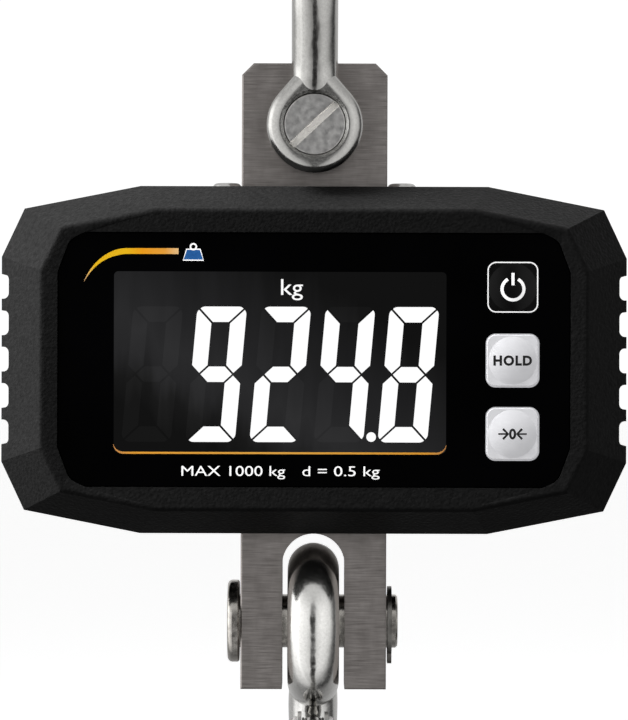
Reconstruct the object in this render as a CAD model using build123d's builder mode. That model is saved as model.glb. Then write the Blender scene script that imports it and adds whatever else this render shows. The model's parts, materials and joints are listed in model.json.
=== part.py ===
from build123d import *
import math
import os

# Crane scale, in millimetres. +X is to the right of someone who reads the display, +Y goes
# away from them and +Z is up. The origin is the crane hook's seat, at the top of the inside
# of the shackle's bow, and everything hangs from it.

os.makedirs("parts", exist_ok=True)

# ---------------------------------------------------------------- driving dimensions

# Shackle
ROD = 12.0
SHACKLE_INSIDE = 48.0
BOW_INSIDE = 36.0
JAW = 24.0
SHACKLE_EYE = 25.0
SHACKLE_EYE_THICK = 11.0
SHACKLE_PIN = 12.0
LEG_LEAN = 20.0
LEG_BEND = 14.0
EYE_ROUNDING = 3.4
EYE_NECK = 9.8
PIN_HEAD = 16.0
PIN_HEAD_THICK = 3.8
PIN_SLOT = 2.0
PIN_SLOT_DEPTH = 2.2
PIN_SLOT_TURN = 43
PIN_SUNK = 0.9
PIN_TAIL = 1.2
EYE_EDGE = 0.8

# Load cell bar
CELL_WIDTH = 38.0
CELL_THICK = 20.0
CELL_ABOVE = 77.4
CELL_BELOW = 85.9
CELL_CHAMFER = 3.1
SLOT_WIDTH = 16.3
SLOT_DEPTH = 40.6
POCKET_WIDTH = 22.0
POCKET_HEIGHT = 30.0
WEB = 3.0
COVER = 0.8
COVER_LAP = 2.0
GAUGE_SIZE = (5.0, 9.0)
GAUGE_THICK = 0.2
CABLE = 3.0
CABLE_Y = -5.5
CABLE_BELOW = 9.0

# Heights of the two pins above and below the middle of the housing
SHACKLE_PIN_ABOVE = 60.8
CLEVIS_PIN_BELOW = 68.7

# Housing: its widest outline, and the smaller outline of its two flat faces
CASE_DEPTH = 56.0
RIM_DEPTH = 32.0
CASE_OUTLINE = dict(flat=45.0, top=45.0, corner_x=75.1, corner_z=39.05, side=81.0, side_z=26.5)
FACE_OUTLINE = dict(flat=40.6, top=38.6, corner_x=64.9, corner_z=33.8, side=70.15, side_z=22.8)
LENS_OUTLINE = dict(flat=60.2, top=32.7, corner_x=63.0, corner_z=30.0, side=65.8, side_z=22.5)
LENS_CORNER = 3.0
WALL = 2.6
SPLIT_Y = 6.0
GRIP_PITCH = 9.43
GRIP_HEIGHT = 6.4
GRIP_DEPTH = 2.0
GRIP_COUNT = 5
GRIP_BACKING = 5.5
SEAL_INSET = 0.8
SEAL_REACH = 1.0
BEZEL_SLOPE = 0.8

# Display and keys
LENS_THICK = 1.7
GASKET_THICK = 0.3
LCD_X = -8.7
LCD_Z = -0.6
LCD_WIDTH = 87.0
LCD_HEIGHT = 48.2
LCD_THICK = 2.8
KEY_X = 50.9
KEY_PITCH = 18.8
KEY_SIZE = 13.3
KEY_CORNER = 2.3
KEY_GAP = 0.25
KEY_DOME = 0.75
KEY_DOME_REACH = 6.2
KEY_FLANGE = 14.6
KEY_TRAVEL = 0.5

# Circuit board
PCB_WIDTH = 122.0
PCB_HEIGHT = 58.0
PCB_THICK = 1.6
PCB_FRONT_Y = -18.6
SWITCH_SIZE = 6.0
SWITCH_HEIGHT = 3.5
PLUNGER = 3.5

# Batteries: three AA cells that stand beside each other
AA_DIAMETER = 14.5
AA_LENGTH = 50.5
AA_PITCH = 14.9
AA_FIRST_X = 27.7
AA_Y = 15.6
DOOR_X = 42.6

# Clevis pin and hook
CLEVIS_PIN = 14.0
CLEVIS_HEAD = 21.6
HOOK_EYE_HOLE = 16.2
HOOK_EYE_OUTER = 43.2
HOOK_DROP = 1.0
BOWL_RADIUS = 16.0
BOWL_CENTRE_BELOW = 67.0

# Latch
LATCH_WIDTH = 8.0
SHEET = 1.0
LATCH_LEAN = 16.2
LATCH_LENGTH = 28.8
LATCH_FACE = 3.5
RIVET = 4.0
LUG_WIDTH = 2.8

# Screws
M3 = 3.0
M4 = 4.0
BLOCK_SCREW_HEAD = 5.5
BLOCK_SCREW_DEPTH = 9.0
SHELL_SCREW_HEAD = 5.6
SHELL_SCREW_HEAD_THICK = 2.4
SHELL_PILLAR = 7.0
TOP_SCREW_LENGTH = 15.0
TOP_SCREW_HEAD = 7.6
TOP_SCREW_DOME = 1.5

# ---------------------------------------------------------------- places worked out from them

PIN_Z = -(SHACKLE_INSIDE + SHACKLE_PIN / 2)
CASE_Z = PIN_Z - SHACKLE_PIN_ABOVE
CABLE_Z = CASE_Z - CABLE_BELOW
CLEVIS_Z = CASE_Z - CLEVIS_PIN_BELOW
CELL_BOTTOM_Z = CASE_Z - CELL_BELOW
CELL_HALF = CELL_WIDTH / 2
EYE_FRONT_Y = -(JAW / 2 + SHACKLE_EYE_THICK)

FRONT_Y = -CASE_DEPTH / 2
RIM_Y = -RIM_DEPTH / 2
LENS_SEAT_Y = FRONT_Y + BEZEL_SLOPE + LENS_THICK + GASKET_THICK
FRONT_WALL_BACK_Y = LENS_SEAT_Y + 1.8
LCD_FRONT_Y = LENS_SEAT_Y + 0.2
PCB_BACK_Y = PCB_FRONT_Y + PCB_THICK

KEY_ROWS = [("power", KEY_PITCH), ("hold", 0.0), ("zero", -KEY_PITCH)]
SIDE_SCREWS = (71.3, 20.0)
TOP_AND_BOTTOM_SCREWS = (36.0, 39.2)
SHELL_SCREW_SPOTS = [
    (x * left_right, z * up_down)
    for x, z in (SIDE_SCREWS, TOP_AND_BOTTOM_SCREWS)
    for left_right in (1, -1)
    for up_down in (1, -1)
]
PCB_SCREW_SPOTS = [(x, z) for x in (-57.5, 39.9) for z in (-25.0, 25.0)]
AA_SPOTS = [AA_FIRST_X + AA_PITCH * n for n in range(3)]
TOP_SCREW_X = CELL_HALF + 4.0
BLOCK_SCREW_SPOTS = [(-3.4, CASE_Z + 25), (3.4, CASE_Z + 25)]


def facing_front(y, x=0.0, z=CASE_Z):
    """A plane across the scale at depth y, seen from the front: right is +X, up is +Z."""
    return Plane(origin=(x, y, z), x_dir=(1, 0, 0), z_dir=(0, -1, 0))


def facing_right(x, y=0.0, z=0.0):
    """A plane at x whose normal is +X: its own axes are +Y and +Z."""
    return Plane(origin=(x, y, z), x_dir=(0, 1, 0), z_dir=(1, 0, 0))


def facing_up(z, x=0.0, y=0.0):
    """A plane at height z whose normal is +Z."""
    return Plane(origin=(x, y, z), x_dir=(1, 0, 0), z_dir=(0, 0, 1))


def twelve_corners(flat, top, corner_x, corner_z, side, side_z):
    """The housing's outline: a flat top and bottom, two slants at each corner, straight sides."""
    right = [(side, side_z), (corner_x, corner_z), (flat, top)]
    upper = right + [(-x, z) for x, z in reversed(right)]
    return upper + [(-x, -z) for x, z in upper]


def lens_shape(inset):
    """The lens's outline with round corners, drawn inset from the edge of its recess."""
    with BuildSketch() as shape:
        Polygon(*twelve_corners(**LENS_OUTLINE), align=None)
        fillet(shape.vertices(), LENS_CORNER)
        offset(amount=-inset, kind=Kind.INTERSECTION)
    return shape.sketch


def case_block(shrink, face_y, side_limit):
    """The housing's body, shrunk all round, with flat faces at plus and minus face_y."""
    with BuildPart() as block:
        with BuildSketch(facing_front(-RIM_Y)):
            Polygon(*twelve_corners(**CASE_OUTLINE), align=None)
            offset(amount=-shrink, kind=Kind.INTERSECTION)
        extrude(amount=RIM_DEPTH)
        for rim, face in ((RIM_Y, -face_y), (-RIM_Y, face_y)):
            with BuildSketch(facing_front(rim)):
                Polygon(*twelve_corners(**CASE_OUTLINE), align=None)
                offset(amount=-shrink, kind=Kind.INTERSECTION)
            with BuildSketch(facing_front(face)):
                Polygon(*twelve_corners(**FACE_OUTLINE), align=None)
                offset(amount=-shrink, kind=Kind.INTERSECTION)
            loft(ruled=True)
        with Locations((0, 0, CASE_Z)):
            Box(2 * side_limit, 4 * CASE_DEPTH, 4 * CASE_DEPTH, mode=Mode.INTERSECT)
    return block.part


def grip_notches():
    """Five rounded notches down each side, cut right through from front to back."""
    with BuildPart() as notches:
        with BuildSketch(facing_front(CASE_DEPTH)):
            with GridLocations(2 * CASE_OUTLINE["side"], GRIP_PITCH, 2, GRIP_COUNT):
                RectangleRounded(2 * GRIP_DEPTH, GRIP_HEIGHT, 1.5)
        extrude(amount=2 * CASE_DEPTH)
    return notches.part


def seal_ring(y, depth, reach):
    """The shell seal's channel in the housing's wall, kept clear of the notches and the bar."""
    with BuildPart() as ring:
        with BuildSketch(facing_front(y)):
            for inset, mode in ((SEAL_INSET, Mode.ADD), (SEAL_INSET + reach, Mode.SUBTRACT)):
                with BuildSketch(mode=Mode.PRIVATE) as loop:
                    Polygon(*twelve_corners(**CASE_OUTLINE), align=None)
                    offset(amount=-inset, kind=Kind.INTERSECTION)
                    Rectangle(2 * (CASE_OUTLINE["side"] - 2.2 - inset), CASE_DEPTH * 2, mode=Mode.INTERSECT)
                add(loop.sketch, mode=mode)
            Rectangle(2 * (TOP_SCREW_X + 4.5), CASE_DEPTH * 2, mode=Mode.SUBTRACT)
        extrude(amount=depth)
    return ring.part


outer_case = case_block(0.0, CASE_DEPTH / 2, CASE_OUTLINE["side"])
inner_case = case_block(WALL, FRONT_WALL_BACK_Y * -1, CASE_OUTLINE["side"] - GRIP_BACKING)
notches = grip_notches()

# ---------------------------------------------------------------- shackle

with BuildPart() as shackle_bow:
    # rear eye and its flared neck
    with BuildSketch(facing_front(-EYE_FRONT_Y, z=PIN_Z)):
        Circle(SHACKLE_EYE / 2)
        with Locations((0, EYE_NECK)):
            Circle(ROD / 2 - 0.1)
        make_hull()
    extrude(amount=SHACKLE_EYE_THICK)
    fillet(shackle_bow.faces().filter_by(Axis.Y).edges(), EYE_ROUNDING)
    # half of the bow, from the crown down to that eye
    with BuildLine(Plane.YZ) as bow_half:
        bow_radius = (BOW_INSIDE + ROD) / 2
        lean = math.radians(LEG_LEAN)
        leg_y = (JAW + ROD) / 2
        side_step = bow_radius * math.cos(lean) - leg_y - LEG_BEND * (1 - math.cos(lean))
        crown = JernArc((0, ROD / 2), (1, 0), bow_radius, -(90 + LEG_LEAN))
        leg = Line(crown @ 1, (crown @ 1) + (crown % 1) * (side_step / math.sin(lean)))
        knee = JernArc(leg @ 1, leg % 1, LEG_BEND, LEG_LEAN)
        Line(knee @ 1, (leg_y, PIN_Z + ROD))
    with BuildSketch(Plane(origin=(0, 0, ROD / 2), x_dir=(1, 0, 0), z_dir=(0, 1, 0))):
        Circle(ROD / 2)
    sweep(path=bow_half.line)
    # the bar's round end fades into the eye
    with Locations((0, leg_y, PIN_Z + ROD)):
        Sphere(ROD / 2)
    mirror(about=Plane.XZ)
    # the pin's holes: sunk and chamfered in front, plain at the back
    with Locations(Location((0, EYE_FRONT_Y, PIN_Z), (90, 0, 0))):
        CounterBoreHole(
            SHACKLE_PIN / 2 + 0.05, PIN_HEAD / 2 + 0.1, PIN_SUNK + PIN_HEAD_THICK + 0.1, -4 * EYE_FRONT_Y
        )
    with BuildSketch(facing_front(EYE_FRONT_Y, z=PIN_Z)):
        Circle(PIN_HEAD / 2 + EYE_EDGE)
    extrude(amount=-EYE_EDGE + 0.1, taper=45, mode=Mode.SUBTRACT)
shackle_bow.part.label = "shackle_bow"
export_step(shackle_bow.part, "parts/shackle_bow.step")

with BuildPart() as shackle_pin:
    pin_front_y = EYE_FRONT_Y + PIN_SUNK
    with BuildSketch(facing_front(pin_front_y + PIN_HEAD_THICK, z=PIN_Z)):
        Circle(PIN_HEAD / 2)
    extrude(amount=PIN_HEAD_THICK)
    fillet(shackle_pin.faces().sort_by(Axis.Y)[0].edges(), 0.5)
    with BuildSketch(facing_front(PIN_TAIL - EYE_FRONT_Y, z=PIN_Z)):
        Circle(SHACKLE_PIN / 2)
    extrude(amount=-2 * EYE_FRONT_Y)
    chamfer(shackle_pin.faces().sort_by(Axis.Y)[-1].edges(), 1.0)
    with BuildSketch(facing_front(pin_front_y, z=PIN_Z)):
        SlotOverall(PIN_HEAD + 2 * PIN_SLOT, PIN_SLOT, rotation=PIN_SLOT_TURN)
    extrude(amount=-PIN_SLOT_DEPTH, mode=Mode.SUBTRACT)
shackle_pin.part.label = "shackle_pin"
export_step(shackle_pin.part, "parts/shackle_pin.step")

# ---------------------------------------------------------------- load cell

with BuildPart() as load_cell:
    with BuildSketch(facing_up(CELL_BOTTOM_Z)):
        Rectangle(CELL_WIDTH, CELL_THICK)
    extrude(amount=CELL_ABOVE + CELL_BELOW)
    top_corners = load_cell.faces().sort_by(Axis.Z)[-1].edges().filter_by(Axis.Y)
    chamfer(top_corners, CELL_CHAMFER)
    chamfer(load_cell.faces().filter_by(Axis.Y).edges(), 0.4)
    # fork for the hook's eye, open at the bottom
    with BuildSketch(facing_front(CELL_THICK, z=CELL_BOTTOM_Z)):
        with Locations((0, SLOT_DEPTH - SLOT_WIDTH / 2)):
            Circle(SLOT_WIDTH / 2)
        Rectangle(SLOT_WIDTH, SLOT_DEPTH - SLOT_WIDTH / 2, align=(Align.CENTER, Align.MIN))
    extrude(amount=2 * CELL_THICK, mode=Mode.SUBTRACT)
    # pin holes
    with BuildSketch(facing_front(CELL_THICK, z=PIN_Z)):
        Circle(SHACKLE_PIN / 2 + 0.08)
    extrude(amount=2 * CELL_THICK, mode=Mode.SUBTRACT)
    with BuildSketch(facing_right(-CELL_WIDTH, z=CLEVIS_Z)):
        Circle(CLEVIS_PIN / 2 + 0.08)
    extrude(amount=2 * CELL_WIDTH, mode=Mode.SUBTRACT)
    # gauge pockets on both faces, with a seat for their covers
    for face_y, inward in ((-CELL_THICK / 2, -1), (CELL_THICK / 2, 1)):
        with BuildSketch(facing_front(face_y)):
            RectangleRounded(POCKET_WIDTH, POCKET_HEIGHT, 4)
        extrude(amount=inward * (CELL_THICK - WEB) / 2, mode=Mode.SUBTRACT)
        with BuildSketch(facing_front(face_y)):
            RectangleRounded(POCKET_WIDTH + 2 * COVER_LAP, POCKET_HEIGHT + 2 * COVER_LAP, 5)
        extrude(amount=inward * (COVER + 0.1), mode=Mode.SUBTRACT)
    # way out for the gauge cable, and the threaded holes of the mounting blocks
    with BuildSketch(facing_right(0, y=CABLE_Y, z=CABLE_Z)):
        Circle(CABLE / 2 + 0.2)
    extrude(amount=CELL_WIDTH, mode=Mode.SUBTRACT)
    with BuildSketch(facing_right(CELL_HALF), facing_right(-CELL_HALF + BLOCK_SCREW_DEPTH)):
        with Locations(*BLOCK_SCREW_SPOTS):
            Circle(M3 / 2)
    extrude(amount=-BLOCK_SCREW_DEPTH, mode=Mode.SUBTRACT)
load_cell.part.label = "load_cell"
export_step(load_cell.part, "parts/load_cell.step")

with BuildPart() as strain_gauges:
    for web_y, outward in ((-WEB / 2, 1), (WEB / 2, -1)):
        with BuildSketch(facing_front(web_y)):
            with Locations((-5, 0), (5, 0)):
                Rectangle(*GAUGE_SIZE)
        extrude(amount=outward * GAUGE_THICK)
strain_gauges.part.label = "strain_gauges"
export_step(strain_gauges.part, "parts/strain_gauges.step")

with BuildPart() as gauge_covers:
    for face_y, inward in ((-CELL_THICK / 2, -1), (CELL_THICK / 2, 1)):
        with BuildSketch(facing_front(face_y)):
            RectangleRounded(POCKET_WIDTH + 2 * COVER_LAP - 0.2, POCKET_HEIGHT + 2 * COVER_LAP - 0.2, 4.9)
        extrude(amount=inward * COVER)
gauge_covers.part.label = "gauge_covers"
export_step(gauge_covers.part, "parts/gauge_covers.step")

with BuildPart() as load_cell_cable:
    # from the gauge pocket, out at the bar's side and forward to the board
    with BuildLine(facing_up(CABLE_Z)) as cable_path:
        FilletPolyline((12, CABLE_Y), (33, CABLE_Y), (33, -13), radius=5)
    with BuildSketch(facing_right(12, y=CABLE_Y, z=CABLE_Z)):
        Circle(CABLE / 2)
    sweep(path=cable_path.line)
load_cell_cable.part.label = "load_cell_cable"
export_step(load_cell_cable.part, "parts/load_cell_cable.step")

# ---------------------------------------------------------------- mounting blocks in the housing

BLOCK_TOP = 39.6
BLOCK_BOTTOM = 20.0
BLOCK_THICK = 13.0
BLOCK_WIDTH = 9.0

with BuildPart() as mounting_blocks:
    with BuildSketch(facing_up(CASE_Z + BLOCK_BOTTOM)):
        with Locations((-TOP_SCREW_X - 0.5, 0), (TOP_SCREW_X + 0.5, 0)):
            Rectangle(BLOCK_WIDTH, BLOCK_THICK)
    extrude(amount=BLOCK_TOP - BLOCK_BOTTOM)
    chamfer(mounting_blocks.edges().filter_by(Axis.Z), 0.8)
    with BuildSketch(facing_right(-3 * CELL_WIDTH)):
        with Locations(*BLOCK_SCREW_SPOTS):
            Circle(M3 / 2 + 0.1)
    extrude(amount=6 * CELL_WIDTH, mode=Mode.SUBTRACT)
    with BuildSketch(facing_up(CASE_Z + BLOCK_TOP)):
        with Locations((-TOP_SCREW_X, 0), (TOP_SCREW_X, 0)):
            Circle(M4 / 2 + 0.05)
    extrude(amount=-11, mode=Mode.SUBTRACT)
mounting_blocks.part.label = "mounting_blocks"
export_step(mounting_blocks.part, "parts/mounting_blocks.step")

with BuildPart() as block_screws:
    block_face = TOP_SCREW_X + 5
    for side in (-1, 1):
        with BuildSketch(facing_right(side * block_face)):
            with Locations(*BLOCK_SCREW_SPOTS):
                Circle(BLOCK_SCREW_HEAD / 2)
                RegularPolygon(1.45, 6, mode=Mode.SUBTRACT)
        extrude(amount=side * 3)
        with BuildSketch(facing_right(side * (block_face + 1))):
            with Locations(*BLOCK_SCREW_SPOTS):
                Circle(M3 / 2 - 0.05)
        extrude(amount=-side * 17)
block_screws.part.label = "block_screws"
export_step(block_screws.part, "parts/block_screws.step")

with BuildPart() as top_screws:
    with BuildSketch(facing_up(CASE_Z + CASE_OUTLINE["top"])):
        with Locations((-TOP_SCREW_X, 0), (TOP_SCREW_X, 0)):
            Circle(TOP_SCREW_HEAD / 2)
    extrude(amount=TOP_SCREW_DOME)
    fillet(top_screws.faces().group_by(Axis.Z)[-1].edges(), TOP_SCREW_DOME - 0.15)
    with BuildSketch(facing_up(CASE_Z + CASE_OUTLINE["top"] + TOP_SCREW_DOME)):
        with Locations((-TOP_SCREW_X, 0), (TOP_SCREW_X, 0)):
            RegularPolygon(1.3, 6)
    extrude(amount=-1.0, mode=Mode.SUBTRACT)
    with BuildSketch(facing_up(CASE_Z + CASE_OUTLINE["top"])):
        with Locations((-TOP_SCREW_X, 0), (TOP_SCREW_X, 0)):
            Circle(M4 / 2 - 0.03)
    extrude(amount=-TOP_SCREW_LENGTH)
top_screws.part.label = "top_screws"
export_step(top_screws.part, "parts/top_screws.step")

# ---------------------------------------------------------------- housing

SEAL_WIDTH = CELL_WIDTH + 2.6
SEAL_THICK = CELL_THICK + 2.6

with BuildPart() as front_shell:
    add(outer_case)
    # soft edges round the face, the rim and the corners
    ridge = front_shell.faces().sort_by(Axis.Y)[0].edges()
    fillet(ridge, 1.2)
    add(inner_case, mode=Mode.SUBTRACT)
    add(notches, mode=Mode.SUBTRACT)
    with Locations((0, SPLIT_Y, CASE_Z)):
        Box(4 * CASE_DEPTH, CASE_DEPTH, 4 * CASE_DEPTH, align=(Align.CENTER, Align.MIN, Align.CENTER),
            mode=Mode.SUBTRACT)
    # pillars for the shell screws
    with BuildSketch(facing_front(SPLIT_Y)):
        with Locations(*SHELL_SCREW_SPOTS):
            Circle(SHELL_PILLAR / 2)
    extrude(amount=SPLIT_Y + 20)
    # pillars for the circuit board
    with BuildSketch(facing_front(PCB_FRONT_Y)):
        with Locations(*PCB_SCREW_SPOTS):
            Circle(2.4)
    extrude(amount=PCB_FRONT_Y - LENS_SEAT_Y)
    add(outer_case, mode=Mode.INTERSECT)
    with BuildSketch(facing_front(SPLIT_Y)):
        with Locations(*SHELL_SCREW_SPOTS):
            Circle(2.1)
    extrude(amount=12, mode=Mode.SUBTRACT)
    with BuildSketch(facing_front(PCB_FRONT_Y)):
        with Locations(*PCB_SCREW_SPOTS):
            Circle(1.2)
    extrude(amount=4.4, mode=Mode.SUBTRACT)
    # the bezel slopes in to the lens, which sits in its own recess
    with BuildSketch(facing_front(FRONT_Y)):
        Polygon(*twelve_corners(**FACE_OUTLINE), align=None)
        offset(amount=-1.0, kind=Kind.INTERSECTION)
    with BuildSketch(facing_front(FRONT_Y + BEZEL_SLOPE * 0.35)):
        Polygon(*twelve_corners(**LENS_OUTLINE), align=None)
    loft(ruled=True, mode=Mode.SUBTRACT)
    with BuildSketch(facing_front(LENS_SEAT_Y)):
        add(lens_shape(0.0))
    extrude(amount=10, mode=Mode.SUBTRACT)
    # windows for the display and the keys
    with BuildSketch(facing_front(0)):
        with Locations((LCD_X, LCD_Z)):
            Rectangle(LCD_WIDTH + 0.6, LCD_HEIGHT + 0.6)
        with Locations(*[(KEY_X, z) for name, z in KEY_ROWS]):
            RectangleRounded(KEY_FLANGE + 0.6, KEY_FLANGE + 0.6, 1.2)
    extrude(amount=CASE_DEPTH, mode=Mode.SUBTRACT)
    # the bar's way through, and the two top screws
    with Locations((0, 0, CASE_Z)):
        Box(SEAL_WIDTH + 0.2, SEAL_THICK + 0.2, 4 * CASE_DEPTH, mode=Mode.SUBTRACT)
    with BuildSketch(facing_up(CASE_Z)):
        with Locations((-TOP_SCREW_X, 0), (TOP_SCREW_X, 0)):
            Circle(M4 / 2 + 0.15)
    extrude(amount=CASE_DEPTH, mode=Mode.SUBTRACT)
    # half of the shell seal's channel
    add(seal_ring(SPLIT_Y, 0.6, SEAL_REACH), mode=Mode.SUBTRACT)
front_shell.part.label = "front_shell"
export_step(front_shell.part, "parts/front_shell.step")

DOOR_CORNERS = [(-24.8, 34.5), (12.0, 34.5), (20.8, 32.8), (24.4, 25.5)]
DOOR_OUTLINE = DOOR_CORNERS + [(x, -z) for x, z in reversed(DOOR_CORNERS)]
DOOR_SEAT_Y = CASE_DEPTH / 2 - 2.2
DOOR_BACKING = 2.2
DOOR_THICK = 1.8
BATTERY_MOUTH = (44.8, 56.2)
DOOR_SCREW_Z = 31.4
LABEL_X = -42.0
LABEL_SIZE = (42.0, 30.0)
SCREW_SEAT_Y = 17.5

with BuildPart() as rear_shell:
    add(outer_case)
    fillet(rear_shell.faces().sort_by(Axis.Y)[-1].edges(), 1.2)
    add(inner_case, mode=Mode.SUBTRACT)
    add(notches, mode=Mode.SUBTRACT)
    with Locations((0, SPLIT_Y, CASE_Z)):
        Box(4 * CASE_DEPTH, 2 * CASE_DEPTH, 4 * CASE_DEPTH, align=(Align.CENTER, Align.MAX, Align.CENTER),
            mode=Mode.SUBTRACT)
    # pillars for the shell screws, and a thicker wall round the battery opening
    with BuildSketch(facing_front(SPLIT_Y)):
        with Locations(*SHELL_SCREW_SPOTS):
            Circle(SHELL_PILLAR / 2)
    extrude(amount=SPLIT_Y - 19.0)
    with BuildSketch(facing_front(CASE_DEPTH / 2 - 1, x=DOOR_X)):
        Rectangle(BATTERY_MOUTH[0] + 4, BATTERY_MOUTH[1] + 14)
    extrude(amount=DOOR_SEAT_Y - CASE_DEPTH / 2 + 1 + 2 * DOOR_BACKING)
    with BuildSketch(facing_front(CASE_DEPTH / 2 - 1, x=DOOR_X)):
        with Locations((0, -DOOR_SCREW_Z), (0, DOOR_SCREW_Z)):
            Circle(3.0)
    extrude(amount=9)
    add(outer_case, mode=Mode.INTERSECT)
    # battery opening with the door's seat, and the door's screw holes
    with BuildSketch(facing_front(CASE_DEPTH / 2, x=DOOR_X)):
        Polygon(*DOOR_OUTLINE, align=None)
        offset(amount=0.15, kind=Kind.INTERSECTION)
    extrude(amount=2.2, mode=Mode.SUBTRACT)
    with BuildSketch(facing_front(CASE_DEPTH, x=DOOR_X)):
        RectangleRounded(*BATTERY_MOUTH, 1.5)
    extrude(amount=CASE_DEPTH - SPLIT_Y, mode=Mode.SUBTRACT)
    with BuildSketch(facing_front(DOOR_SEAT_Y, x=DOOR_X)):
        with Locations((0, -DOOR_SCREW_Z), (0, DOOR_SCREW_Z)):
            Circle(M3 / 2)
    extrude(amount=6, mode=Mode.SUBTRACT)
    # recess for the rating plate
    with BuildSketch(facing_front(CASE_DEPTH / 2, x=LABEL_X)):
        RectangleRounded(LABEL_SIZE[0] + 0.4, LABEL_SIZE[1] + 0.4, 2.2)
    extrude(amount=0.4, mode=Mode.SUBTRACT)
    # screw holes, sunk from behind
    with BuildSketch(facing_front(SPLIT_Y)):
        with Locations(*SHELL_SCREW_SPOTS):
            Circle(M3 / 2 + 0.15)
    extrude(amount=-CASE_DEPTH, mode=Mode.SUBTRACT)
    with BuildSketch(facing_front(SCREW_SEAT_Y)):
        with Locations(*SHELL_SCREW_SPOTS):
            Circle(3.0)
    extrude(amount=-CASE_DEPTH, mode=Mode.SUBTRACT)
    # the bar's way through
    with Locations((0, 0, CASE_Z)):
        Box(SEAL_WIDTH + 0.2, SEAL_THICK + 0.2, 4 * CASE_DEPTH, mode=Mode.SUBTRACT)
    add(seal_ring(SPLIT_Y + 0.6, 0.6, SEAL_REACH), mode=Mode.SUBTRACT)
rear_shell.part.label = "rear_shell"
export_step(rear_shell.part, "parts/rear_shell.step")

with BuildPart() as shell_seal:
    add(seal_ring(SPLIT_Y + 0.55, 1.1, SEAL_REACH))
shell_seal.part.label = "shell_seal"
export_step(shell_seal.part, "parts/shell_seal.step")

with BuildPart() as shell_screws:
    with BuildSketch(facing_front(SCREW_SEAT_Y)):
        with Locations(*SHELL_SCREW_SPOTS):
            Circle(SHELL_SCREW_HEAD / 2)
    extrude(amount=-SHELL_SCREW_HEAD_THICK)
    fillet(shell_screws.faces().group_by(Axis.Y)[-1].edges(), 0.9)
    with BuildSketch(facing_front(SCREW_SEAT_Y + SHELL_SCREW_HEAD_THICK)):
        with Locations(*SHELL_SCREW_SPOTS):
            RegularPolygon(1.15, 6)
    extrude(amount=1.4, mode=Mode.SUBTRACT)
    with BuildSketch(facing_front(SCREW_SEAT_Y)):
        with Locations(*SHELL_SCREW_SPOTS):
            Circle(M3 / 2 - 0.05)
    extrude(amount=16.5)
shell_screws.part.label = "shell_screws"
export_step(shell_screws.part, "parts/shell_screws.step")

with BuildPart() as threaded_inserts:
    with BuildSketch(facing_front(SPLIT_Y - 0.5)):
        with Locations(*SHELL_SCREW_SPOTS):
            Circle(2.08)
            Circle(M3 / 2, mode=Mode.SUBTRACT)
    extrude(amount=6)
threaded_inserts.part.label = "threaded_inserts"
export_step(threaded_inserts.part, "parts/threaded_inserts.step")


def bar_collar(low, high):
    """A rubber collar that fills the gap between the bar and the housing."""
    with BuildPart() as collar:
        with BuildSketch(facing_up(CASE_Z + low)):
            Rectangle(SEAL_WIDTH, SEAL_THICK)
            Rectangle(CELL_WIDTH + 0.1, CELL_THICK + 0.1, mode=Mode.SUBTRACT)
        extrude(amount=high - low)
    return collar.part


with BuildPart() as load_cell_seal_top:
    add(bar_collar(40.2, CASE_OUTLINE["top"] - 0.2))
load_cell_seal_top.part.label = "load_cell_seal_top"
export_step(load_cell_seal_top.part, "parts/load_cell_seal_top.step")

with BuildPart() as load_cell_seal_bottom:
    add(bar_collar(0.2 - CASE_OUTLINE["top"], -40.2))
load_cell_seal_bottom.part.label = "load_cell_seal_bottom"
export_step(load_cell_seal_bottom.part, "parts/load_cell_seal_bottom.step")

# ---------------------------------------------------------------- display and keys

with BuildPart() as display_lens:
    with BuildSketch(facing_front(LENS_SEAT_Y - GASKET_THICK)):
        add(lens_shape(0.15))
    extrude(amount=LENS_THICK)
    chamfer(display_lens.faces().sort_by(Axis.Y)[0].edges(), 0.2)
    with BuildSketch(facing_front(0)):
        with Locations(*[(KEY_X, z) for name, z in KEY_ROWS]):
            RectangleRounded(KEY_SIZE + 2 * KEY_GAP, KEY_SIZE + 2 * KEY_GAP, KEY_CORNER + KEY_GAP)
    extrude(amount=CASE_DEPTH, mode=Mode.SUBTRACT)
display_lens.part.label = "display_lens"
export_step(display_lens.part, "parts/display_lens.step")

with BuildPart() as lens_gasket:
    with BuildSketch(facing_front(LENS_SEAT_Y)):
        add(lens_shape(0.8))
        with Locations((LCD_X, LCD_Z)):
            Rectangle(LCD_WIDTH + 1, LCD_HEIGHT + 1, mode=Mode.SUBTRACT)
        with Locations(*[(KEY_X, z) for name, z in KEY_ROWS]):
            RectangleRounded(KEY_FLANGE + 1, KEY_FLANGE + 1, 1.2, mode=Mode.SUBTRACT)
    extrude(amount=GASKET_THICK)
lens_gasket.part.label = "lens_gasket"
export_step(lens_gasket.part, "parts/lens_gasket.step")

with BuildPart() as lcd_glass:
    with BuildSketch(facing_front(LCD_FRONT_Y + LCD_THICK)):
        with Locations((LCD_X, LCD_Z)):
            Rectangle(LCD_WIDTH, LCD_HEIGHT)
    extrude(amount=LCD_THICK)
    chamfer(lcd_glass.edges(), 0.15)
lcd_glass.part.label = "lcd_glass"
export_step(lcd_glass.part, "parts/lcd_glass.step")

BACKLIGHT_THICK = 3.0
LCD_BACK_Y = LCD_FRONT_Y + LCD_THICK

with BuildPart() as lcd_backlight:
    with BuildSketch(facing_front(LCD_BACK_Y + 0.1 + BACKLIGHT_THICK)):
        with Locations((LCD_X, LCD_Z)):
            Rectangle(LCD_WIDTH - 1, LCD_HEIGHT - 1)
    extrude(amount=BACKLIGHT_THICK)
    chamfer(lcd_backlight.edges().filter_by(Axis.Y), 0.8)
lcd_backlight.part.label = "lcd_backlight"
export_step(lcd_backlight.part, "parts/lcd_backlight.step")

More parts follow.
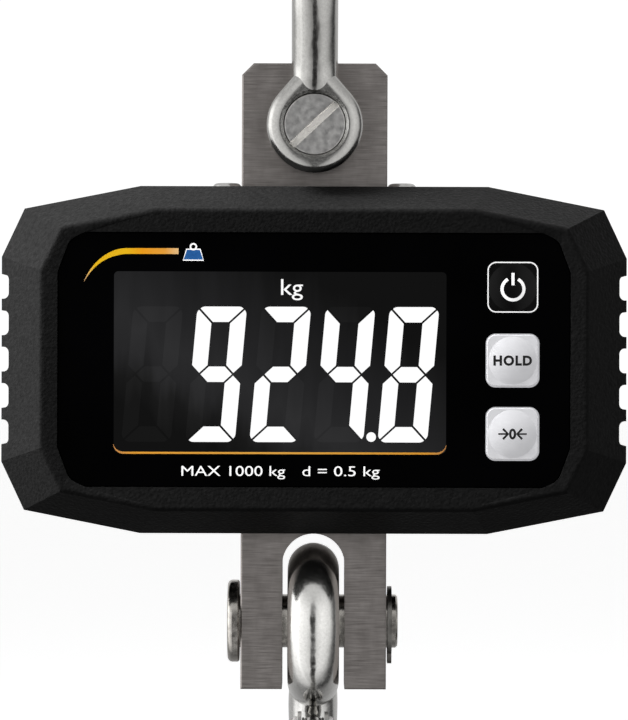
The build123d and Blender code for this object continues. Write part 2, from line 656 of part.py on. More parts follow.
with BuildPart() as lcd_frame:
    with BuildSketch(facing_front(PCB_FRONT_Y - 0.1)):
        with Locations((LCD_X, LCD_Z)):
            RectangleRounded(LCD_WIDTH + 4, LCD_HEIGHT + 3.6, 1.0)
            Rectangle(LCD_WIDTH + 0.4, LCD_HEIGHT + 0.4, mode=Mode.SUBTRACT)
        with Locations(*PCB_SCREW_SPOTS):
            Circle(2.9, mode=Mode.SUBTRACT)
    extrude(amount=PCB_FRONT_Y - 0.1 - FRONT_WALL_BACK_Y - 0.15)
lcd_frame.part.label = "lcd_frame"
export_step(lcd_frame.part, "parts/lcd_frame.step")

LENS_FRONT_Y = LENS_SEAT_Y - GASKET_THICK - LENS_THICK
KEY_FLAT_Y = LENS_FRONT_Y - 0.1
KEY_FLANGE_FRONT_Y = LENS_SEAT_Y - GASKET_THICK + 0.1
KEY_FLANGE_THICK = 1.0
STEM_END_Y = -23.4
SWITCH_FRONT_Y = PCB_FRONT_Y - SWITCH_HEIGHT


def key_dome(z):
    """The low round dome of a key: the cap of a large ball."""
    dome_radius = (KEY_DOME_REACH**2 + KEY_DOME**2) / (2 * KEY_DOME)
    with BuildPart() as dome:
        with Locations((KEY_X, KEY_FLAT_Y - KEY_DOME + dome_radius, CASE_Z + z)):
            Sphere(dome_radius)
        with Locations((KEY_X, KEY_FLAT_Y, CASE_Z + z)):
            Box(
                KEY_SIZE, 2 * KEY_DOME, KEY_SIZE,
                align=(Align.CENTER, Align.MAX, Align.CENTER), mode=Mode.INTERSECT,
            )
    return dome.part


def key_cap(z):
    """A square key with a low round dome, a flange that keeps it in and a stem behind."""
    with BuildPart() as key:
        with BuildSketch(facing_front(KEY_FLANGE_FRONT_Y + KEY_FLANGE_THICK, x=KEY_X, z=CASE_Z + z)):
            RectangleRounded(KEY_FLANGE, KEY_FLANGE, 1.0)
        extrude(amount=KEY_FLANGE_THICK)
        with BuildSketch(facing_front(KEY_FLANGE_FRONT_Y, x=KEY_X, z=CASE_Z + z)):
            RectangleRounded(KEY_SIZE, KEY_SIZE, KEY_CORNER)
        extrude(amount=KEY_FLANGE_FRONT_Y - KEY_FLAT_Y)
        fillet(key.faces().sort_by(Axis.Y)[0].edges(), 0.3)
        add(key_dome(z))
        with BuildSketch(facing_front(STEM_END_Y, x=KEY_X, z=CASE_Z + z)):
            Circle(2.2)
        extrude(amount=STEM_END_Y - KEY_FLANGE_FRONT_Y - KEY_FLANGE_THICK)
    return key.part


def switch_plunger(z):
    """The switch's round plunger, which the key's stem rests on."""
    with BuildPart() as plunger:
        with BuildSketch(facing_front(SWITCH_FRONT_Y + 0.6, x=KEY_X, z=CASE_Z + z)):
            Circle(PLUNGER / 2)
        extrude(amount=SWITCH_FRONT_Y + 0.6 - STEM_END_Y)
        chamfer(plunger.faces().sort_by(Axis.Y)[0].edges(), 0.2)
    return plunger.part


for key_name, key_z in KEY_ROWS:
    with BuildPart() as key:
        add(key_cap(key_z))
    key.part.label = key_name + "_key"
    export_step(key.part, "parts/" + key_name + "_key.step")
    with BuildPart() as plunger:
        add(switch_plunger(key_z))
    plunger.part.label = key_name + "_plunger"
    export_step(plunger.part, "parts/" + key_name + "_plunger.step")

with BuildPart() as tact_switches:
    with BuildSketch(facing_front(PCB_FRONT_Y)):
        with Locations(*[(KEY_X, z) for name, z in KEY_ROWS]):
            RectangleRounded(SWITCH_SIZE, SWITCH_SIZE, 0.4)
    extrude(amount=SWITCH_HEIGHT)
    with BuildSketch(facing_front(SWITCH_FRONT_Y)):
        with Locations(*[(KEY_X, z) for name, z in KEY_ROWS]):
            Circle(PLUNGER / 2 + 0.1)
    extrude(amount=-1.8, mode=Mode.SUBTRACT)
tact_switches.part.label = "tact_switches"
export_step(tact_switches.part, "parts/tact_switches.step")

# ---------------------------------------------------------------- circuit board

with BuildPart() as main_pcb:
    with BuildSketch(facing_front(PCB_BACK_Y)):
        RectangleRounded(PCB_WIDTH, PCB_HEIGHT, 2)
        with Locations(*PCB_SCREW_SPOTS):
            Circle(1.4, mode=Mode.SUBTRACT)
    extrude(amount=PCB_THICK)
main_pcb.part.label = "main_pcb"
export_step(main_pcb.part, "parts/main_pcb.step")

# each chip or connector: place across the board, width, height and thickness
CHIPS = [
    ((-40, 8), (12, 12), 1.4),
    ((-40, -14), (8, 5), 1.2),
    ((-24, 6), (6, 5), 1.2),
    ((-52, 16), (7, 7), 3.0),
    ((33, -9), (9, 7), 3.8),
    ((33, -22), (9, 6), 3.8),
    ((50, 10), (7, 7), 2.6),
]
CAPACITORS = [(-54, -8), (-54, -18), (52, -6)]
CAPACITOR = 5.0
CAPACITOR_HEIGHT = 5.4

with BuildPart() as pcb_components:
    for spot, (width, height), thick in CHIPS:
        with BuildSketch(facing_front(PCB_BACK_Y)):
            with Locations(spot):
                Rectangle(width, height)
        extrude(amount=-thick)
    with BuildSketch(facing_front(PCB_BACK_Y)):
        with Locations(*CAPACITORS):
            Circle(CAPACITOR / 2)
    extrude(amount=-CAPACITOR_HEIGHT)
pcb_components.part.label = "pcb_components"
export_step(pcb_components.part, "parts/pcb_components.step")

with BuildPart() as pcb_screws:
    with BuildSketch(facing_front(PCB_BACK_Y + 1.6)):
        with Locations(*PCB_SCREW_SPOTS):
            Circle(2.2)
    extrude(amount=1.6)
    with BuildSketch(facing_front(PCB_BACK_Y)):
        with Locations(*PCB_SCREW_SPOTS):
            Circle(1.15)
    extrude(amount=5.5)
pcb_screws.part.label = "pcb_screws"
export_step(pcb_screws.part, "parts/pcb_screws.step")

# ---------------------------------------------------------------- batteries

TRAY_FLOOR_Y = 7.2
TRAY_RIM_Y = 23.4
TRAY_SIZE = (46.8, 56.6)
TRAY_X = AA_FIRST_X + AA_PITCH
TRAY_WALL = 1.0
CELL_TIP = 5.5
CELL_TIP_HEIGHT = 1.3
CONTACT_SHEET = 0.4

with BuildPart() as battery_tray:
    with BuildSketch(facing_front(TRAY_RIM_Y, x=TRAY_X)):
        RectangleRounded(*TRAY_SIZE, 4.0)
    extrude(amount=TRAY_RIM_Y - TRAY_FLOOR_Y)
    with BuildSketch(facing_front(TRAY_RIM_Y, x=TRAY_X)):
        RectangleRounded(TRAY_SIZE[0] - 2 * TRAY_WALL, TRAY_SIZE[1] - 2 * TRAY_WALL, 3.0)
    extrude(amount=TRAY_RIM_Y - TRAY_FLOOR_Y - 0.9, mode=Mode.SUBTRACT)
battery_tray.part.label = "battery_tray"
export_step(battery_tray.part, "parts/battery_tray.step")

with BuildPart() as battery_cells:
    with BuildSketch(facing_up(CASE_Z - AA_LENGTH / 2)):
        with Locations(*[(x, AA_Y) for x in AA_SPOTS]):
            Circle(AA_DIAMETER / 2)
    extrude(amount=AA_LENGTH - CELL_TIP_HEIGHT)
    with BuildSketch(facing_up(CASE_Z + AA_LENGTH / 2 - CELL_TIP_HEIGHT)):
        with Locations(*[(x, AA_Y) for x in AA_SPOTS]):
            Circle(CELL_TIP / 2)
    extrude(amount=CELL_TIP_HEIGHT)
battery_cells.part.label = "battery_cells"
export_step(battery_cells.part, "parts/battery_cells.step")

with BuildPart() as battery_contacts:
    contact_end = TRAY_SIZE[1] / 2 - TRAY_WALL
    for up_down in (1, -1):
        with BuildSketch(facing_up(CASE_Z + up_down * contact_end)):
            with Locations(*[(x, AA_Y) for x in AA_SPOTS]):
                Rectangle(8, 9)
        extrude(amount=-up_down * CONTACT_SHEET)
        with BuildSketch(facing_up(CASE_Z + up_down * (contact_end - CONTACT_SHEET))):
            with Locations(*[(x, AA_Y) for x in AA_SPOTS]):
                Circle(3.4)
        extrude(amount=-up_down * (contact_end - CONTACT_SHEET - AA_LENGTH / 2), taper=25)
battery_contacts.part.label = "battery_contacts"
export_step(battery_contacts.part, "parts/battery_contacts.step")

with BuildPart() as battery_wires:
    for wire_z in (-21.0, -24.0):
        with BuildLine(facing_right(32, z=CASE_Z + wire_z)) as wire_path:
            FilletPolyline((TRAY_FLOOR_Y, 0), (1.0, 0), (-4.0, 1.5), (-13.2, 1.5), radius=5)
        with BuildSketch(facing_front(TRAY_FLOOR_Y, x=32, z=CASE_Z + wire_z)):
            Circle(0.7)
        sweep(path=wire_path.line)
battery_wires.part.label = "battery_wires"
export_step(battery_wires.part, "parts/battery_wires.step")

with BuildPart() as battery_door:
    with BuildSketch(facing_front(CASE_DEPTH / 2, x=DOOR_X)):
        Polygon(*DOOR_OUTLINE, align=None)
    extrude(amount=DOOR_THICK)
    fillet(battery_door.edges().filter_by(Axis.Y), 1.5)
    chamfer(battery_door.faces().sort_by(Axis.Y)[-1].edges(), 0.3)
    # a rib that fits in the battery opening, and ridges to grip
    with BuildSketch(facing_front(CASE_DEPTH / 2 - DOOR_THICK, x=DOOR_X)):
        RectangleRounded(BATTERY_MOUTH[0] - 0.6, BATTERY_MOUTH[1] - 0.6, 1.2)
        RectangleRounded(BATTERY_MOUTH[0] - 3, BATTERY_MOUTH[1] - 3, 0.8, mode=Mode.SUBTRACT)
    extrude(amount=2.2)
    with BuildSketch(facing_front(CASE_DEPTH / 2, x=DOOR_X)):
        with GridLocations(1, 3.2, 1, 5):
            SlotOverall(26, 1.4)
    extrude(amount=0.5, mode=Mode.SUBTRACT)
    with BuildSketch(facing_front(CASE_DEPTH / 2, x=DOOR_X)):
        with Locations((0, -DOOR_SCREW_Z), (0, DOOR_SCREW_Z)):
            Circle(M3 / 2 + 0.2)
    extrude(amount=4, mode=Mode.SUBTRACT)
    with BuildSketch(facing_front(CASE_DEPTH / 2, x=DOOR_X)):
        with Locations((0, -DOOR_SCREW_Z), (0, DOOR_SCREW_Z)):
            Circle(2.9)
    extrude(amount=1.2, taper=45, mode=Mode.SUBTRACT)
battery_door.part.label = "battery_door"
export_step(battery_door.part, "parts/battery_door.step")

with BuildPart() as battery_door_seal:
    with BuildSketch(facing_front(DOOR_SEAT_Y + 0.4, x=DOOR_X)):
        RectangleRounded(BATTERY_MOUTH[0] + 1.8, BATTERY_MOUTH[1] + 1.8, 3.4)
        RectangleRounded(BATTERY_MOUTH[0] + 0.2, BATTERY_MOUTH[1] + 0.2, 2.6, mode=Mode.SUBTRACT)
    extrude(amount=0.4)
battery_door_seal.part.label = "battery_door_seal"
export_step(battery_door_seal.part, "parts/battery_door_seal.step")

with BuildPart() as battery_door_screws:
    with BuildSketch(facing_front(CASE_DEPTH / 2 - 0.1, x=DOOR_X)):
        with Locations((0, -DOOR_SCREW_Z), (0, DOOR_SCREW_Z)):
            Circle(2.7)
    extrude(amount=1.15, taper=45)
    with BuildSketch(facing_front(CASE_DEPTH / 2 - 1.1, x=DOOR_X)):
        with Locations((0, -DOOR_SCREW_Z), (0, DOOR_SCREW_Z)):
            Circle(M3 / 2 - 0.05)
    extrude(amount=5.5)
    with BuildSketch(facing_front(CASE_DEPTH / 2, x=DOOR_X)):
        with Locations((0, -DOOR_SCREW_Z), (0, DOOR_SCREW_Z)):
            Rectangle(3.4, 0.7)
            Rectangle(0.7, 3.4)
    extrude(amount=1.2, mode=Mode.SUBTRACT)
battery_door_screws.part.label = "battery_door_screws"
export_step(battery_door_screws.part, "parts/battery_door_screws.step")

with BuildPart() as rating_plate:
    with BuildSketch(facing_front(CASE_DEPTH / 2 - 0.1, x=LABEL_X)):
        RectangleRounded(*LABEL_SIZE, 2.0)
    extrude(amount=0.3)
rating_plate.part.label = "rating_plate"
export_step(rating_plate.part, "parts/rating_plate.step")

# ---------------------------------------------------------------- clevis pin

HEAD_THICK = 3.1
HEAD_PLAY = 0.4
RING_THICK = 1.1
RING_X = CELL_HALF + 0.4
PIN_END_X = CELL_HALF + 3.1

with BuildPart() as clevis_pin:
    with BuildSketch(facing_right(-CELL_HALF - HEAD_PLAY - HEAD_THICK, z=CLEVIS_Z)):
        Circle(CLEVIS_HEAD / 2)
    extrude(amount=HEAD_THICK)
    fillet(clevis_pin.faces().sort_by(Axis.X)[0].edges(), 1.3)
    chamfer(clevis_pin.faces().sort_by(Axis.X)[-1].edges(), 0.4)
    with BuildSketch(facing_right(-CELL_HALF - HEAD_PLAY - 0.5, z=CLEVIS_Z)):
        Circle(CLEVIS_PIN / 2)
    extrude(amount=CELL_HALF + HEAD_PLAY + 0.5 + PIN_END_X)
    chamfer(clevis_pin.faces().sort_by(Axis.X)[-1].edges(), 0.5)
    with BuildSketch(facing_right(RING_X, z=CLEVIS_Z)):
        Circle(CLEVIS_PIN)
        Circle(CLEVIS_PIN / 2 - 0.5, mode=Mode.SUBTRACT)
    extrude(amount=RING_THICK + 0.1, mode=Mode.SUBTRACT)
clevis_pin.part.label = "clevis_pin"
export_step(clevis_pin.part, "parts/clevis_pin.step")

with BuildPart() as pin_retaining_ring:
    with BuildSketch(facing_right(RING_X + 0.05, z=CLEVIS_Z)):
        Circle(9.2)
        with Locations((-2.0, -8.9), (2.0, -8.9)):
            Circle(2.1)
        with Locations((0, 0.5)):
            Circle(CLEVIS_PIN / 2 - 0.05, mode=Mode.SUBTRACT)
        Circle(CLEVIS_PIN / 2 - 0.45, mode=Mode.SUBTRACT)
        with Locations((0, -9)):
            Rectangle(1.5, 9, mode=Mode.SUBTRACT)
        with Locations((-2.2, -9.1), (2.2, -9.1)):
            Circle(0.8, mode=Mode.SUBTRACT)
    extrude(amount=RING_THICK)
pin_retaining_ring.part.label = "pin_retaining_ring"
export_step(pin_retaining_ring.part, "parts/pin_retaining_ring.step")

# ---------------------------------------------------------------- hook

BOWL_Z = CLEVIS_Z - BOWL_CENTRE_BELOW
EYE_Z = CLEVIS_Z - HOOK_DROP
PIVOT_Y = -8.0
PIVOT_Z = CLEVIS_Z - 27.5

# sections round the bowl: angle from +Y about the bowl's centre, depth across the bend, width
BOWL_SECTIONS = [
    (25, 14.5, 13.0),
    (-12, 15.5, 13.2),
    (-50, 16.8, 13.2),
    (-90, 17.0, 13.2),
    (-130, 15.0, 12.6),
    (-162, 12.0, 10.8),
    (-186, 9.0, 9.2),
]


def hook_section(y, z, run_y, run_z, depth, width):
    """An oval across the hook's bar at (y, z), where the bar runs along (run_y, run_z)."""
    across = Plane(origin=(0, y, z), x_dir=(1, 0, 0), z_dir=(0, run_y, run_z))
    with BuildSketch(across) as oval:
        Ellipse(width / 2, depth / 2)
    return oval.sketch


with BuildPart() as hook:
    # bar: from the bottom of the eye, down the back and round the bowl to the tip
    add(hook_section(0.5, CLEVIS_Z - 17.0, 0.3, -0.95, 13.0, 12.4))
    add(hook_section(7.0, CLEVIS_Z - 30.0, 0.47, -0.88, 13.4, 12.6))
    for angle, depth, width in BOWL_SECTIONS:
        turn = math.radians(angle)
        reach = BOWL_RADIUS + depth / 2
        centre = (reach * math.cos(turn), BOWL_Z + reach * math.sin(turn))
        add(hook_section(*centre, math.sin(turn), -math.cos(turn), depth, width))
    add(hook_section(-24.2, CLEVIS_Z - 53.0, -0.3, 0.95, 5.6, 7.6))
    add(hook_section(-24.7, CLEVIS_Z - 51.4, -0.3, 0.95, 3.0, 4.4))
    loft()
    # eye
    with Locations(Location((0, 0, EYE_Z), (0, 90, 0))):
        Torus((HOOK_EYE_OUTER + HOOK_EYE_HOLE) / 4, (HOOK_EYE_OUTER - HOOK_EYE_HOLE) / 4)
    # lug for the latch
    with BuildSketch(facing_right(-LUG_WIDTH / 2, y=PIVOT_Y, z=PIVOT_Z)):
        Circle(3.6)
        with Locations((11, -1)):
            Circle(4.5)
        make_hull()
    extrude(amount=LUG_WIDTH)
    with BuildSketch(facing_right(-LUG_WIDTH, y=PIVOT_Y, z=PIVOT_Z)):
        Circle(RIVET / 2 + 0.02)
    extrude(amount=2 * LUG_WIDTH, mode=Mode.SUBTRACT)
hook.part.label = "hook"
export_step(hook.part, "parts/hook.step")

# ---------------------------------------------------------------- latch


def along_latch(x):
    """A plane at x through the latch's pivot: its first axis runs down the latch, its second
    points out of the throat, and its normal is -X."""
    lean = math.radians(LATCH_LEAN)
    return Plane(
        origin=(x, PIVOT_Y, PIVOT_Z), x_dir=(0, -math.sin(lean), -math.cos(lean)), z_dir=(-1, 0, 0)
    )


with BuildPart() as latch:
    # side view of the folded sheet, then the channel inside it
    with BuildSketch(along_latch(LATCH_WIDTH / 2)):
        Circle(4.4)
        Polygon(
            (0, -4.2), (8, -2.6), (26, 0.4), (LATCH_LENGTH, 2.3), (LATCH_LENGTH, LATCH_FACE), (0, LATCH_FACE),
            align=None,
        )
    extrude(amount=LATCH_WIDTH)
    with BuildSketch(along_latch(LATCH_WIDTH / 2 - SHEET)):
        Polygon(
            (-10, -10), (40, -10), (40, LATCH_FACE - SHEET), (5.6, LATCH_FACE - SHEET), (5.6, 10), (-10, 10),
            align=None,
        )
    extrude(amount=LATCH_WIDTH - 2 * SHEET, mode=Mode.SUBTRACT)
    with BuildSketch(along_latch(LATCH_WIDTH)):
        Circle(RIVET / 2 + 0.06)
    extrude(amount=2 * LATCH_WIDTH, mode=Mode.SUBTRACT)
latch.part.label = "latch"
export_step(latch.part, "parts/latch.step")

with BuildPart() as latch_rivet:
    with BuildSketch(facing_right(-LATCH_WIDTH / 2 - 1.1, y=PIVOT_Y, z=PIVOT_Z)):
        Circle(RIVET / 2)
    extrude(amount=LATCH_WIDTH + 2.2)
    for outward in (-1, 1):
        with BuildSketch(facing_right(outward * (LATCH_WIDTH / 2 + 0.1), y=PIVOT_Y, z=PIVOT_Z)):
            Circle(3.1)
        extrude(amount=outward * 1.1)
        end_face = latch_rivet.faces().sort_by(Axis.X)[0 if outward < 0 else -1]
        fillet(end_face.edges(), 0.7)
latch_rivet.part.label = "latch_rivet"
export_step(latch_rivet.part, "parts/latch_rivet.step")

SPRING_WIRE = 0.66
SPRING_RADIUS = 2.5
SPRING_TURN = 300.0
HELD_TURN_X = 1.82
MOVING_TURN_X = 2.54
SPRING_LEG = 14.0
NECK_LEG = 9.5
NECK_LEG_ANGLE = -151.0
WEB_LEG_ANGLE = 86.0


def round_wire(path):
    """A round wire swept along a path."""
    with BuildPart() as wire:
        with BuildSketch(Plane(origin=path @ 0, z_dir=path % 0)):
            Circle(SPRING_WIRE / 2)
        sweep(path=path)
    return wire.part


def on_spring(angle):
    """A point of the spring's turn, and the direction of the wire there as it winds."""
    turn = math.radians(angle)
    spot = (SPRING_RADIUS * math.cos(turn), SPRING_RADIUS * math.sin(turn))
    return spot, (math.sin(turn), -math.cos(turn))


with BuildPart() as latch_spring:
    # the held half: a leg against the hook's neck and a turn round the rivet, on both sides
    for x in (-HELD_TURN_X, HELD_TURN_X):
        with BuildLine(along_latch(x)) as held_half:
            spot, run = on_spring(NECK_LEG_ANGLE)
            neck_leg = Line((spot[0] - NECK_LEG * run[0], spot[1] - NECK_LEG * run[1]), spot)
            JernArc(neck_leg @ 1, neck_leg % 1, SPRING_RADIUS, -SPRING_TURN)
        add(round_wire(held_half.line))
latch_spring.part.label = "latch_spring"
export_step(latch_spring.part, "parts/latch_spring.step")

with BuildPart() as latch_spring_arm:
    # the half that moves with the latch: the next turns, and a yoke that lies under its web
    for x in (-MOVING_TURN_X, MOVING_TURN_X):
        with BuildLine(along_latch(x)) as moving_half:
            spot, run = on_spring(WEB_LEG_ANGLE + SPRING_TURN)
            turn = JernArc(spot, run, SPRING_RADIUS, -SPRING_TURN)
            web_leg = Line(turn @ 1, (turn @ 1) + (turn % 1) * SPRING_LEG)
        add(round_wire(moving_half.line))
    bridge = web_leg @ 1
    with Locations(Location((0, bridge.Y, bridge.Z), (0, 90, 0))):
        Cylinder(SPRING_WIRE / 2, 2 * MOVING_TURN_X)
    with Locations((-MOVING_TURN_X, bridge.Y, bridge.Z), (MOVING_TURN_X, bridge.Y, bridge.Z)):
        Sphere(SPRING_WIRE / 2)
latch_spring_arm.part.label = "latch_spring_arm"
export_step(latch_spring_arm.part, "parts/latch_spring_arm.step")
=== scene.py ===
import json
import math

import bmesh
import bpy
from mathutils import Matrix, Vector


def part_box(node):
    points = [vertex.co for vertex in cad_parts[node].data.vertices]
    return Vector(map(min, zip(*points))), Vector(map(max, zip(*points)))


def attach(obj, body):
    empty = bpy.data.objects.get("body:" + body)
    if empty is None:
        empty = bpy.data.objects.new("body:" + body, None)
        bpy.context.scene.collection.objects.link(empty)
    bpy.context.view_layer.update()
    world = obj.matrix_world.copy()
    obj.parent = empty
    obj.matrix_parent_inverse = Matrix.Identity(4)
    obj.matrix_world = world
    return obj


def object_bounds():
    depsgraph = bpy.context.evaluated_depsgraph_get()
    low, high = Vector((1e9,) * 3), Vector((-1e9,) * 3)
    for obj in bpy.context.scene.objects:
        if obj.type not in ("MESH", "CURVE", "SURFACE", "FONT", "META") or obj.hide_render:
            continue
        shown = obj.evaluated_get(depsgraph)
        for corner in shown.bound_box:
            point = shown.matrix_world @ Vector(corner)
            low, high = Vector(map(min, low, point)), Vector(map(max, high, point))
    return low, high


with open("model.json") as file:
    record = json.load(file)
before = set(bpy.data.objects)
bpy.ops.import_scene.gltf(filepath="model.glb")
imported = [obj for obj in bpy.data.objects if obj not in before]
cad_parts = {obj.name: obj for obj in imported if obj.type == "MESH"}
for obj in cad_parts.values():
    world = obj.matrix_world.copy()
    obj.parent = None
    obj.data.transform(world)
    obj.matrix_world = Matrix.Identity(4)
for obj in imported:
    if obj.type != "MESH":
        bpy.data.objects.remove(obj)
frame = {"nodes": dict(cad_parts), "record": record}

# Looks of the crane scale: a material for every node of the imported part, the printed graphics of
# the display, the rating plate and the keys, then the studio and the camera. Lengths below are in
# millimetres unless a comment says otherwise, and MM turns them into metres.

MM = 0.001
nodes = frame["nodes"]
scene = bpy.context.scene
cad_low, cad_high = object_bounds()


# ------------------------------------------------------------------ places taken from the part

def middle(node, axis):
    """Middle of a node's box along one axis."""
    low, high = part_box(node)
    return (low[axis] + high[axis]) / 2 / MM


CASE_Z = middle("front_shell", 2)
LENS_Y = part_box("display_lens")[0][1] / MM
PLATE_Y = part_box("rating_plate")[1][1] / MM

# A key's top is a dome on a flat border, which stands a little in front of the lens.
KEY_FLAT_Y = LENS_Y - 0.1
KEY_DOME_HEIGHT = KEY_FLAT_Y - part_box("hold_key")[0][1] / MM
KEY_DOME_REACH = 6.2
DOME_RADIUS = (KEY_DOME_REACH ** 2 + KEY_DOME_HEIGHT ** 2) / (2 * KEY_DOME_HEIGHT)

# The display's glow carries a painted highlight, brightest near a line that leans down to the
# right, through the point PAINTED_HIGHLIGHT_AT in x and z. Its band reaches from
# PAINTED_HIGHLIGHT_FROM above that line to PAINTED_HIGHLIGHT_TO below it.
PAINTED_HIGHLIGHT_AT = (-50.2, CASE_Z + 12.8)
PAINTED_HIGHLIGHT_LEAN = (0.489, 0.872)
PAINTED_HIGHLIGHT_LINE = -(PAINTED_HIGHLIGHT_LEAN[0] * PAINTED_HIGHLIGHT_AT[0] + PAINTED_HIGHLIGHT_LEAN[1] * PAINTED_HIGHLIGHT_AT[1])
PAINTED_HIGHLIGHT_FROM = PAINTED_HIGHLIGHT_LINE - 31.0
PAINTED_HIGHLIGHT_TO = PAINTED_HIGHLIGHT_LINE + 20.0


# ------------------------------------------------------------------ shader nodes

def srgb(code):
    """Linear colour from a six digit hexadecimal sRGB colour."""
    parts = [int(code[i:i + 2], 16) / 255 for i in (0, 2, 4)]
    return [c / 12.92 if c <= 0.04045 else ((c + 0.055) / 1.055) ** 2.4 for c in parts] + [1.0]


def add_node(tree, kind, **settings):
    node = tree.nodes.new(kind)
    for key, value in settings.items():
        setattr(node, key, value)
    return node


def calculate(tree, operation, *values):
    """Result of a Math node. Each value is a number or the output of another node."""
    node = add_node(tree, "ShaderNodeMath", operation=operation)
    for socket, value in zip(node.inputs, values):
        if isinstance(value, (int, float)):
            socket.default_value = value
        else:
            tree.links.new(value, socket)
    return node.outputs[0]


def colour_ramp(tree, value, stops):
    """Colours along value. Each stop is a position and a linear colour with alpha."""
    ramp = add_node(tree, "ShaderNodeValToRGB")
    points = ramp.color_ramp.elements
    while len(points) < len(stops):
        points.new(1.0)
    for point, (position, colour) in zip(points, stops):
        point.position = position
        point.color = colour
    tree.links.new(value, ramp.inputs["Fac"])
    return ramp.outputs["Color"]


class Finish:
    """A material under construction: its node tree and its Principled shader."""

    def __init__(self, name, metallic=0.0, specular=0.5):
        self.material = bpy.data.materials.new(name)
        self.material.use_nodes = True
        self.tree = self.material.node_tree
        self.shader = self.tree.nodes["Principled BSDF"]
        self.shader.inputs["Metallic"].default_value = metallic
        self.shader.inputs["Specular IOR Level"].default_value = specular
        self.place = self.add("ShaderNodeTexCoord").outputs["Object"]
        self.normal = None

    def add(self, kind, **settings):
        return add_node(self.tree, kind, **settings)

    def join(self, source, target):
        self.tree.links.new(source, target)

    def spread(self, texture, grain, stretch):
        """Sizes a texture's features to about grain millimetres, times stretch along each axis."""
        mapping = self.add("ShaderNodeMapping")
        mapping.inputs["Scale"].default_value = [1 / (grain * MM * s) for s in stretch]
        self.join(self.place, mapping.inputs["Vector"])
        self.join(mapping.outputs["Vector"], texture.inputs["Vector"])
        texture.inputs["Scale"].default_value = 1.0

    def noise(self, grain, stretch=(1, 1, 1), detail=3.0):
        noise = self.add("ShaderNodeTexNoise")
        noise.inputs["Detail"].default_value = detail
        self.spread(noise, grain, stretch)
        return noise.outputs["Fac"]

    def cells(self, grain):
        """Rounded cells about grain millimetres apart."""
        cells = self.add("ShaderNodeTexVoronoi", feature="SMOOTH_F1")
        self.spread(cells, grain, (1, 1, 1))
        return cells.outputs["Distance"]

    def scaled(self, value, low, high, start=0.3, end=0.7):
        """value from start to end becomes low to high, and stays there beyond."""
        scale = self.add("ShaderNodeMapRange")
        scale.inputs["From Min"].default_value = start
        scale.inputs["From Max"].default_value = end
        scale.inputs["To Min"].default_value = low
        scale.inputs["To Max"].default_value = high
        self.join(value, scale.inputs["Value"])
        return scale.outputs["Result"]

    def maths(self, operation, *values):
        return calculate(self.tree, operation, *values)

    def ramp(self, value, stops):
        """Colours along value. Each stop is a position and a hexadecimal sRGB colour."""
        return colour_ramp(self.tree, value, [(position, srgb(code)) for position, code in stops])

    def mixed(self, factor, first, second):
        """From the first colour at factor 0 to the second at 1. Either is a code or an output."""
        mix = self.add("ShaderNodeMix", data_type="RGBA")
        self.join(factor, mix.inputs["Factor"])
        for socket, value in ((mix.inputs[6], first), (mix.inputs[7], second)):
            if isinstance(value, str):
                socket.default_value = srgb(value)
            else:
                self.join(value, socket)
        return mix.outputs[2]

    def axis(self, name):
        """One coordinate, in millimetres."""
        parts = self.add("ShaderNodeSeparateXYZ")
        self.join(self.place, parts.inputs[0])
        return self.maths("MULTIPLY", parts.outputs[name], 1 / MM)

    def bump(self, height, depth, strength=1.0):
        """Adds relief of that depth in millimetres on top of the relief so far."""
        bump = self.add("ShaderNodeBump")
        bump.inputs["Distance"].default_value = depth * MM
        bump.inputs["Strength"].default_value = strength
        self.join(height, bump.inputs["Height"])
        if self.normal is not None:
            self.join(self.normal, bump.inputs["Normal"])
        self.normal = bump.outputs["Normal"]
        self.join(self.normal, self.shader.inputs["Normal"])

    def colour(self, source):
        self.join(source, self.shader.inputs["Base Color"])

    def roughness(self, source):
        self.join(source, self.shader.inputs["Roughness"])

    def emission(self, source, strength):
        self.join(source, self.shader.inputs["Emission Color"])
        self.shader.inputs["Emission Strength"].default_value = strength


def grainy(name, dark, light, rough, grain=0.8, depth=0.05, metallic=0.0, specular=0.5):
    """A plain finish whose relief, gloss and tone vary with a fine, a middle and a coarse grain."""
    finish = Finish(name, metallic, specular)
    finish.colour(finish.ramp(finish.noise(grain * 6), [(0.35, dark), (0.65, light)]))
    finish.roughness(finish.scaled(finish.noise(grain * 2), *rough))
    finish.bump(finish.noise(grain), depth, 0.4)
    return finish.material


# ------------------------------------------------------------------ metals

SEAM_FADE = 3.0
SEAM_GREY = "5a5957"
SEAM_SIDE_GREY = "484745"
# Near white inside the pin's milled slot: a painted highlight.
SLOT_PAINTED_HIGHLIGHT = "fbfaf8"


